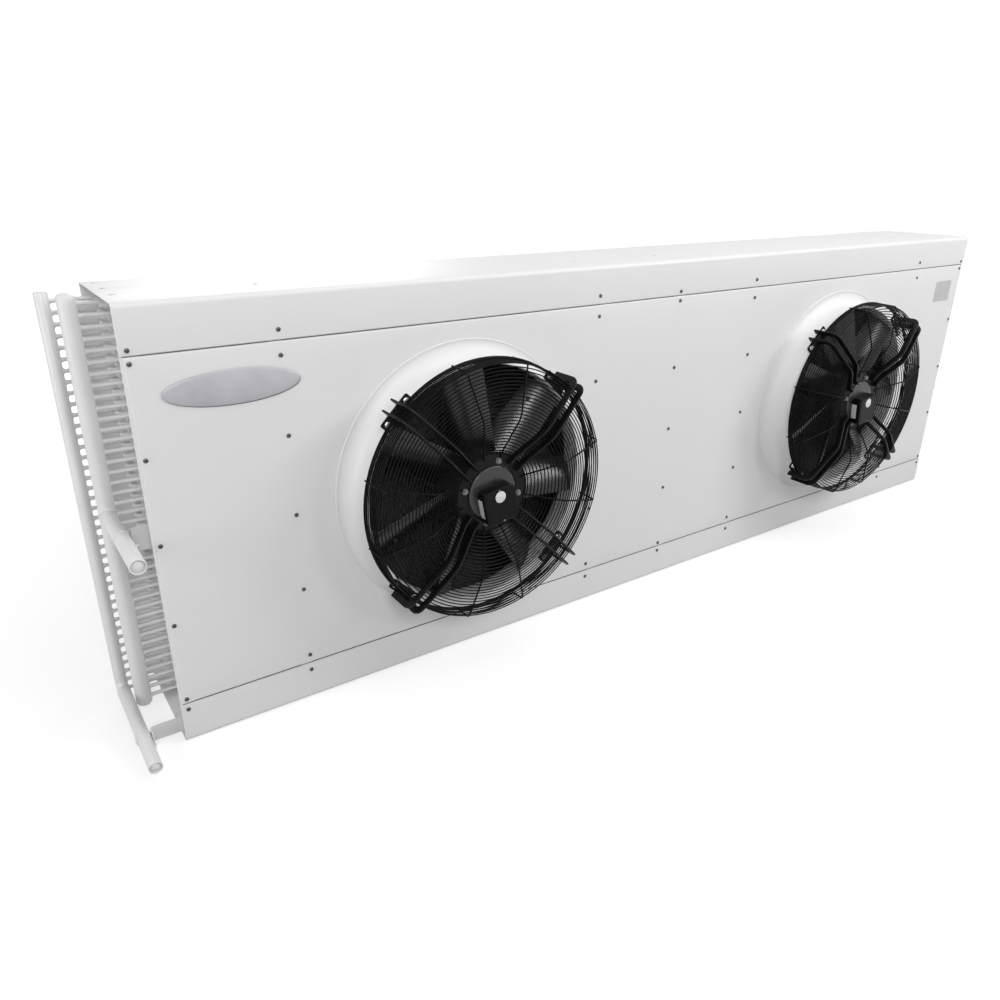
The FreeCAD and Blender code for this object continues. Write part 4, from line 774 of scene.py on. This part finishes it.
for hand, fan_x in FAN_LINES.items():
    fine = hoops(np.concatenate((ring_radii, side_radii)), np.concatenate((ring_fronts, side_fronts)), RING_WIRE)
    heavy = hoops([REAR_RING - 0.0015, REAR_RING - 0.002, HUB_RIM + 0.001],
                  [REAR_FRONT, REAR_FRONT + 0.0078, HUB_FRONT - 0.001], 0.0030)
    make_piece(f"{hand}_guard_wires", [
        (on_fan(spoke, fan_x, SPOKE_ANGLES), False, True), (hoops_on_fan(fine, fan_x), True, True),
        (hoops_on_fan(heavy, fan_x), True, True)], guard_black,
        replaces=[f"{hand}_wire_guard"])

# Guard frames
# The guards' load-bearing part, in the same black coat: a hub plate that holds the motor, four arms of
# two flat bars on edge on the diagonals, and four foot plates bolted to the bellmouth's tabs.
ARM_DEPTH, ARM_THICKNESS, ARM_PAIR, FOOT_SHEET = 0.020, 0.0055, 0.033, 0.003
HUB_HOLE, HUB_SHEET = 0.074, 0.004
frame_black = coat("frame_black_coat", ((0.004, 0.004, 0.0042), (0.008, 0.008, 0.0085)), 0.08, (0.28, 0.42),
                   0.002, 0.00004, specks=(0.006, (0.02, 0.019, 0.018), 0.3), mirror=0.12)
leg_radius, arm_root = TAB_REACH + 0.006, HUB_FRONT + ARM_DEPTH / 2 - 0.002
arm_line = eased_line(
    [(HUB_RIM - 0.022, arm_root), (HUB_RIM + 0.004, arm_root), (CROWN, CROWN_FRONT),
     (leg_radius, RIM_FRONT + 0.002), (leg_radius, BELL_DEPTH - 0.008)], (0.02, 0.07, 0.02), 12)


def flat_bar(path, side, thickness, depth, corner):
    """Flat bar on edge along a path in one plane. Its section is a rectangle with round corners: the depth
    runs square to the path in that plane, the thickness along the plane's normal (side); the ends close.
    """
    outward = np.cross(np.gradient(path, axis=0), side)
    outward /= np.linalg.norm(outward, axis=1, keepdims=True)
    section = rounded_rectangle(depth, thickness, corner, 4)
    points = path[:, None] + section[:, :1] * outward[:, None] + section[:, 1:] * np.asarray(side, float)
    ends = np.repeat(path[[0, -1]], len(section), axis=0).reshape(2, len(section), 3)
    return np.concatenate((ends[:1], points, ends[1:]))


arm = flat_bar(fan_line(arm_line), (0, 1, 0), ARM_THICKNESS, ARM_DEPTH, 0.0018)
hub_ease = 0.0006
hub_plate = spun([(HUB_HOLE, 0), (HUB_RIM - hub_ease, 0), (HUB_RIM, hub_ease), (HUB_RIM, HUB_SHEET - hub_ease),
                  (HUB_RIM - hub_ease, HUB_SHEET), (HUB_HOLE + hub_ease, HUB_SHEET),
                  (HUB_HOLE, HUB_SHEET - hub_ease)], 96) + (0, 0, HUB_FRONT - HUB_SHEET)
foot_plate = corner_plate(THROAT + BELL_SHEET, TAB_REACH, TAB_WIDTH, BELL_DEPTH, FOOT_SHEET, 0.006)
frame_parts, foot_bolts, hub_bolts = [], [], []
FOOT_BOLT_RADIUS, FOOT_BOLT_SIDE, HUB_BOLT_RADIUS = 0.3345, 0.0356, 0.0835
HUB_BOLT_ANGLES = np.array((77, 167, 257, 347))
bolt_washer, bolt_head = washer_disc(0.0076, 0.0016), hexagon(0.012, 0.0053)
for fan_x in FAN_LINES.values():
    for offset in (-ARM_PAIR / 2, ARM_PAIR / 2):
        frame_parts.append((on_fan(arm + (0, offset, 0), fan_x, ARM_ANGLES), False, True))
    frame_parts.append((on_fan(hub_plate, fan_x, 0), True, True))
    frame_parts.append((on_fan(foot_plate, fan_x, ARM_ANGLES), False, True))
    for side in (-FOOT_BOLT_SIDE, FOOT_BOLT_SIDE):
        base = (FOOT_BOLT_RADIUS, side, BELL_DEPTH + FOOT_SHEET)
        foot_bolts.append((on_fan(bolt_washer + base, fan_x, ARM_ANGLES), True, False))
        foot_bolts.append((on_fan(bolt_head + base + np.array((0, 0, 0.0016)), fan_x, ARM_ANGLES), True, False))
    base = np.array((HUB_BOLT_RADIUS, 0, HUB_FRONT))
    hub_bolts.append((on_fan(washer_disc(0.0085, 0.0014) + base, fan_x, HUB_BOLT_ANGLES), True, False))
    hub_bolts.append((on_fan(hexagon(0.0115, 0.005) + base + (0, 0, 0.0014), fan_x, HUB_BOLT_ANGLES), True, False))
make_piece("guard_arm_frames", frame_parts, frame_black, replaces=["guard_frames"])
dull_steel = coat("dull_painted_steel", ((0.13, 0.13, 0.132), (0.20, 0.20, 0.202)), 0.004, (0.38, 0.5),
                  0.0008, 0.00004)
make_piece("foot_bolts", foot_bolts, bright_zinc)
make_piece("hub_bolts", hub_bolts, dull_steel)

# Motors
# Cast aluminium motor fronts in grey paint: a flange behind the hub plate and a low domed cap through it,
# whose rim is rounded.
DOME_RADIUS, DOME_FRONT, CAP_FRONT, CAP_EDGE = 0.0715, 0.150, 0.1435, 0.005
motor_paint = coat("motor_grey_paint", ((0.014, 0.0145, 0.0155), (0.024, 0.0245, 0.026)), 0.05, (0.24, 0.34),
                   0.0012, 0.00004, mirror=0.5)
cap_radii = np.linspace(DOME_RADIUS - CAP_EDGE, 0.012, 9)
cap_heights = CAP_FRONT - 0.0035 * (cap_radii / DOME_RADIUS) ** 2
ridge = np.linspace(0, np.pi / 2, 8)
cap_rim = np.stack((DOME_RADIUS - CAP_EDGE * (1 - np.cos(ridge)), cap_heights[0] - CAP_EDGE * (1 - np.sin(ridge))), axis=1)
motor_section = np.concatenate((
    [(0.0102, 0.122), (0.096, 0.122), (0.098, 0.1235), (0.098, 0.132), (DOME_RADIUS, 0.132)],
    cap_rim, np.stack((cap_radii, cap_heights), axis=1)[1:], [(0, CAP_FRONT), (0, 0.1405), (0.0102, 0.1405)]))
make_piece("motor_fronts", [(on_fan(spun(motor_section, 96), fan_x, 0), True, True) for fan_x in FAN_LINES.values()],
           motor_paint, replaces=["motor_shields"])

# Terminal boxes
# Black moulded boxes on the motor domes with a stepped lid held by two small screws. A bare white disc
# is on the lid at the fan's axis, and a bare white tag on the box's left side. Each motor was bolted in a
# little turned about its axis.
BOX_TURN = {"left": np.radians(11), "right": np.radians(7)}
BOX_WIDTH, BOX_HEIGHT, BOX_DROP, BOX_DEPTH, LID_DEPTH, BOX_CORNER = 0.096, 0.097, 0.0255, 0.018, 0.007, 0.018
box_black = coat("terminal_box_black", ((0.0025, 0.0025, 0.003), (0.005, 0.005, 0.0055)), 0.03, (0.20, 0.28),
                 0.0009, 0.00002, mirror=0.1)
tag_white = coat("tag_white_film", ((0.62, 0.62, 0.615), (0.68, 0.68, 0.675)), 0.01, (0.3, 0.42), 0.0007, 0.00001)


def inset_plate(width, height, corner, levels, steps=7):
    """Closed block over a rounded rectangle: each level is (inset, forward), with the corner radius kept
    concentric; the first and last level close to the middle.
    """
    loops = []
    for inset, forward in levels:
        outline = rounded_rectangle(width - 2 * inset, height - 2 * inset, max(corner - inset, 0.001), steps)
        loops.append(np.column_stack((outline, np.full(len(outline), forward))))
    points = np.stack(loops)
    back, front = points[:1] * (0, 0, 1), points[-1:] * (0, 0, 1)
    return np.concatenate((back, points, front))


def turned(shape, hand):
    """A shape turned about a fan's axis by its box's angle: (x cos a - z sin a, x sin a + z cos a)."""
    middle = np.array((FAN_LINES[hand], 0, FAN_HEIGHT))
    across, depth, up = np.moveaxis(shape - middle, -1, 0)
    cosine, sine = np.cos(BOX_TURN[hand]), np.sin(BOX_TURN[hand])
    return middle + np.stack((across * cosine - up * sine, depth, across * sine + up * cosine), axis=-1)


def on_box(shape, hand):
    """A shape drawn as (across, up, forward) about the box's middle, moved to a fan's terminal box."""
    across, up, forward = np.moveaxis(shape, -1, 0)
    return turned(np.stack((FAN_LINES[hand] + across, PANEL_FRONT - forward, FAN_HEIGHT - BOX_DROP + up), axis=-1), hand)


ease = np.linspace(0, np.pi / 2, 5)
rise = DOME_FRONT + BOX_DEPTH
BOX_SKIRT = 0.011
base_levels = [(0.0012, DOME_FRONT - BOX_SKIRT), (0.0, DOME_FRONT - BOX_SKIRT + 0.002), (0.0, rise - 0.0018),
               (0.0012, rise - 0.0008)]
lid_levels = [(0.0012, rise - 0.0008), (0.0, rise)] + [
    (0.0042 * (1 - np.cos(angle)), rise + LID_DEPTH - 0.0042 * (1 - np.sin(angle))) for angle in ease]
groove = [(0.0075, rise + LID_DEPTH), (0.0082, rise + LID_DEPTH - 0.0007), (0.0092, rise + LID_DEPTH - 0.0007),
          (0.0099, rise + LID_DEPTH)]
disc_turn = np.linspace(0, 2 * np.pi, 48, endpoint=False)
for hand, fan_x in FAN_LINES.items():
    make_piece(f"{hand}_box_base", [(on_box(inset_plate(BOX_WIDTH, BOX_HEIGHT, BOX_CORNER, base_levels), hand),
                                     False, True)], box_black, replaces=[f"{hand}_terminal_box"])
    make_piece(f"{hand}_box_lid", [(on_box(inset_plate(BOX_WIDTH, BOX_HEIGHT, BOX_CORNER, lid_levels + groove), hand),
                                    False, True)], box_black, replaces=[f"{hand}_terminal_lid"])
    lid_front = PANEL_FRONT - rise - LID_DEPTH
    make_piece(f"{hand}_lid_disc", [(stand(domed_outline(
        0.0155 * np.stack((np.cos(disc_turn), np.sin(disc_turn)), axis=1),
        ((0, 0), (1, 0), (1, 0.0004), (0.97, 0.0007), (0, 0.0007))), (fan_x, lid_front, FAN_HEIGHT), "front"),
        False, True)], tag_white)
    tag = stand(domed_outline(rounded_rectangle(0.0185, 0.052, 0.0015), (
        (0, 0), (1, 0), (1, 0.0003), (0.98, 0.0005), (0, 0.0005))),
        (fan_x - BOX_WIDTH / 2, PANEL_FRONT - DOME_FRONT - 0.0025, FAN_HEIGHT - BOX_DROP + 0.002), "left")
    make_piece(f"{hand}_box_tag", [(turned(tag, hand), False, True)], tag_white)
    lid_screws = [(fan_x, lid_front, FAN_HEIGHT - BOX_DROP + up) for up in (BOX_HEIGHT / 2 - 0.0055, 0.0055 - BOX_HEIGHT / 2)]
    make_piece(f"{hand}_lid_screws", [(turned(stand(pan_head(0.0028, 0.0016), lid_screws, "front"), hand), True, False)],
               dull_steel, outward=Vector((0, -1, 0)))

# Impellers
# Seven pressed steel blades in black paint, curved across their width and welded to the drum of an
# external-rotor motor. Each impeller turns with its drum; each blade carries one small rivet.
BLADE_COUNT, BLADE_TIP, BLADE_ROOT, BLADE_MIDDLE = 7, 0.312, 0.088, 0.055
FIRST_BLADE = {"left": 96.6, "right": 104.5}
BLADE_SHEET, ROTOR_RADIUS, ROTOR_FRONT, ROTOR_BACK = 0.0024, 0.092, 0.118, 0.025
impeller_paint = coat("impeller_black_paint", ((0.005, 0.005, 0.0053), (0.009, 0.009, 0.0095)), 0.12, (0.20, 0.27),
                      0.003, 0.00002, specks=(0.008, (0.025, 0.024, 0.023), 0.25), mirror=0.75)
rivet_dark = coat("rivet_dark", ((0.008, 0.008, 0.008), (0.014, 0.014, 0.014)), 0.005, (0.4, 0.5), 0.0006, 0.00002)


def blade_surface(out, share):
    """Point of the blade's middle surface: out from the axis, and across its width from -1 (trailing,
    rearward) to +1 (leading, forward). The width runs along a line pitched to the plane of rotation, with
    a parabola's bow towards the front; pitch and width change evenly from root to tip.
    """
    part = (out - BLADE_ROOT) / (BLADE_TIP - BLADE_ROOT)
    pitch = np.radians(38.4 - 7.4 * part)
    half = 0.062 - 0.012 * part
    bow = 0.009 * (1 - share ** 2)
    across = half * share
    sideways = -(across * np.cos(pitch) - bow * np.sin(pitch))
    forward = BLADE_MIDDLE + across * np.sin(pitch) + bow * np.cos(pitch)
    reach = np.sqrt(np.maximum(out ** 2 - sideways ** 2 * np.clip((out - 0.15) / 0.1, 0, 1), 0))
    return np.stack((reach, sideways, forward), axis=-1)


def blade_shell():
    """A blade's two faces: its middle surface moved half the sheet each way along its normal, as a closed
    loop of the width with a rounded rim, and closed at the root and the tip.
    """
    out = np.linspace(BLADE_ROOT, BLADE_TIP, 22)[:, None]
    share = np.linspace(-1, 1, 17)[None, :]
    middle = blade_surface(out + 0 * share, share + 0 * out)
    normal = np.cross(np.gradient(middle, axis=0), np.gradient(middle, axis=1))
    normal /= np.linalg.norm(normal, axis=-1, keepdims=True)
    half = BLADE_SHEET / 2
    rim = half * 0.7
    faces = np.concatenate((middle + half * normal, (middle - half * normal)[:, ::-1]), axis=1)
    edge = np.gradient(middle, axis=1)
    edge /= np.linalg.norm(edge, axis=-1, keepdims=True)
    faces = np.concatenate((faces[:, :17], (middle[:, -1:] + rim * edge[:, -1:]), faces[:, 17:],
                            (middle[:, :1] - rim * edge[:, :1])), axis=1)
    line = np.concatenate((middle, middle[:, -1:], middle[:, ::-1], middle[:, :1]), axis=1)
    return np.concatenate((line[:1], faces, line[-1:]))


blade = blade_shell()
rivet_base = blade_surface(np.array([[0.262]]), np.array([[-0.35]]))[0, 0]
drum_ease = np.linspace(0, np.pi / 2, 6)
drum_section = np.concatenate((
    [(0, ROTOR_BACK), (ROTOR_RADIUS - 0.004, ROTOR_BACK), (ROTOR_RADIUS, ROTOR_BACK + 0.004)],
    np.stack((ROTOR_RADIUS - 0.005 * (1 - np.cos(drum_ease)), ROTOR_FRONT - 0.005 * (1 - np.sin(drum_ease))), axis=1),
    [(0.080, ROTOR_FRONT), (0.079, ROTOR_FRONT - 0.002), (0.070, ROTOR_FRONT - 0.002), (0.069, ROTOR_FRONT),
     (0.010, ROTOR_FRONT), (0.010, 0.143), (0, 0.143)]))
back_plate = spun([(0, 0), (0.055, 0), (0.055, 0.002), (0.053, 0.003), (0.012, 0.003), (0.012, 0.006), (0, 0.006)], 64)
rivet = spun([(0, -0.0032), (0.0056, -0.0032), (0.0056, 0.0026), (0.0045, 0.0034), (0, 0.0038)], 20)
for hand, fan_x in FAN_LINES.items():
    blade_angles = FIRST_BLADE[hand] + 360 / BLADE_COUNT * np.arange(BLADE_COUNT)
    make_piece(f"{hand}_fan_wheel", [
        (on_fan(blade, fan_x, blade_angles), False, True), (on_fan(spun(drum_section, 96), fan_x, 0), True, False),
        (on_fan(back_plate * (1, 1, -1) + (0, 0, ROTOR_BACK), fan_x, 0), True, False)],
        impeller_paint, body=f"{hand}_fan", replaces=[f"{hand}_impeller"])
    make_piece(f"{hand}_fan_rivets", [(on_fan(rivet + rivet_base, fan_x, blade_angles), True, False)],
               rivet_dark, body=f"{hand}_fan")

# Floor and light
# A plain pale floor that shows white to the camera and keeps the casing's shadow, under soft lamps.
floor_points = np.array([[(-14, -14, -0.0006), (14, -14, -0.0006)], [(-14, 14, -0.0006), (14, 14, -0.0006)]], float)
floor_mesh = bpy.data.meshes.new("studio_floor")
floor_mesh.from_pydata(floor_points.reshape(-1, 3), [], grid_quads(2, 2, False, False))
floor = bpy.data.objects.new("studio_floor", floor_mesh)
bpy.context.scene.collection.objects.link(floor)
floor_paint = bpy.data.materials.new("studio_floor_paint")
floor_paint.use_nodes = True
nodes, links = floor_paint.node_tree.nodes, floor_paint.node_tree.links
matt = nodes["Principled BSDF"]
matt.inputs["Base Color"].default_value = (0.45, 0.45, 0.45, 1)
matt.inputs["Roughness"].default_value = 0.9
matt.inputs["Specular IOR Level"].default_value = 0.0
path = nodes.new("ShaderNodeLightPath")
seen = nodes.new("ShaderNodeMath")
seen.operation = "MAXIMUM"
links.new(path.outputs["Is Camera Ray"], seen.inputs[0])
links.new(path.outputs["Is Glossy Ray"], seen.inputs[1])
away = nodes.new("ShaderNodeVectorMath")
away.operation = "LENGTH"
links.new(nodes.new("ShaderNodeTexCoord").outputs["Object"], away.inputs[0])
rising = nodes.new("ShaderNodeMapRange")
rising.interpolation_type = "SMOOTHSTEP"
for socket_name, value in (("From Min", 1.2), ("From Max", 4.5), ("To Min", 0.6), ("To Max", 1.0)):
    rising.inputs[socket_name].default_value = value
links.new(away.outputs["Value"], rising.inputs["Value"])
lift = nodes.new("ShaderNodeMath")
lift.operation = "MULTIPLY"
links.new(rising.outputs["Result"], lift.inputs[1])
links.new(seen.outputs[0], lift.inputs[0])
matt.inputs["Emission Color"].default_value = (1, 1, 1, 1)
links.new(lift.outputs[0], matt.inputs["Emission Strength"])
floor_mesh.materials.append(floor_paint)

world = bpy.data.worlds.new("studio_world")
bpy.context.scene.world = world
world.use_nodes = True
nodes, links = world.node_tree.nodes, world.node_tree.links
background = nodes["Background"]
background.inputs["Color"].default_value = (1, 1, 1, 1)
path = nodes.new("ShaderNodeLightPath")
kinds = ("Is Camera Ray", "Is Glossy Ray", "Is Transmission Ray")
joined = path.outputs[kinds[0]]
for kind in kinds[1:]:
    either = nodes.new("ShaderNodeMath")
    either.operation = "MAXIMUM"
    links.new(joined, either.inputs[0])
    links.new(path.outputs[kind], either.inputs[1])
    joined = either.outputs[0]
level_of = nodes.new("ShaderNodeMapRange")
level_of.inputs["To Min"].default_value = 0.22
level_of.inputs["To Max"].default_value = 1.0
links.new(joined, level_of.inputs["Value"])
links.new(level_of.outputs["Result"], background.inputs["Strength"])


def soft_lamp(name, place, target, size, power):
    """Rectangular area lamp at a place, turned towards a target, its first side level."""
    lamp = bpy.data.objects.new(name, bpy.data.lights.new(name, "AREA"))
    lamp.data.shape = "RECTANGLE"
    lamp.data.size, lamp.data.size_y = size
    lamp.data.energy = power
    lamp.location = place
    lamp.rotation_euler = (Vector(target) - Vector(place)).to_track_quat("-Z", "Y").to_euler()
    bpy.context.scene.collection.objects.link(lamp)


soft_lamp("overhead_softbox", (0.2, -0.6, 4.4), (0, 0, 0.5), (3.2, 3.2), 62)
soft_lamp("left_front_softbox", (-2.2, -3.8, 2.7), (-0.45, -0.3, 0.6), (1.1, 1.1), 66)
soft_lamp("right_front_softbox", (1.2, -4.0, 2.1), (1.06, -0.3, 0.6), (0.7, 0.7), 15)
soft_lamp("upper_right_softbox", (2.4, -2.4, 2.8), (-0.2, 0, 0.5), (1.5, 1.5), 63)
soft_lamp("left_softbox", (-5.0, -0.6, 1.6), (-1.5, 0, 0.5), (2.0, 2.0), 62)
soft_lamp("back_softbox", (0.5, 4.5, 2.6), (0, 0, 0.6), (2.6, 2.6), 50)
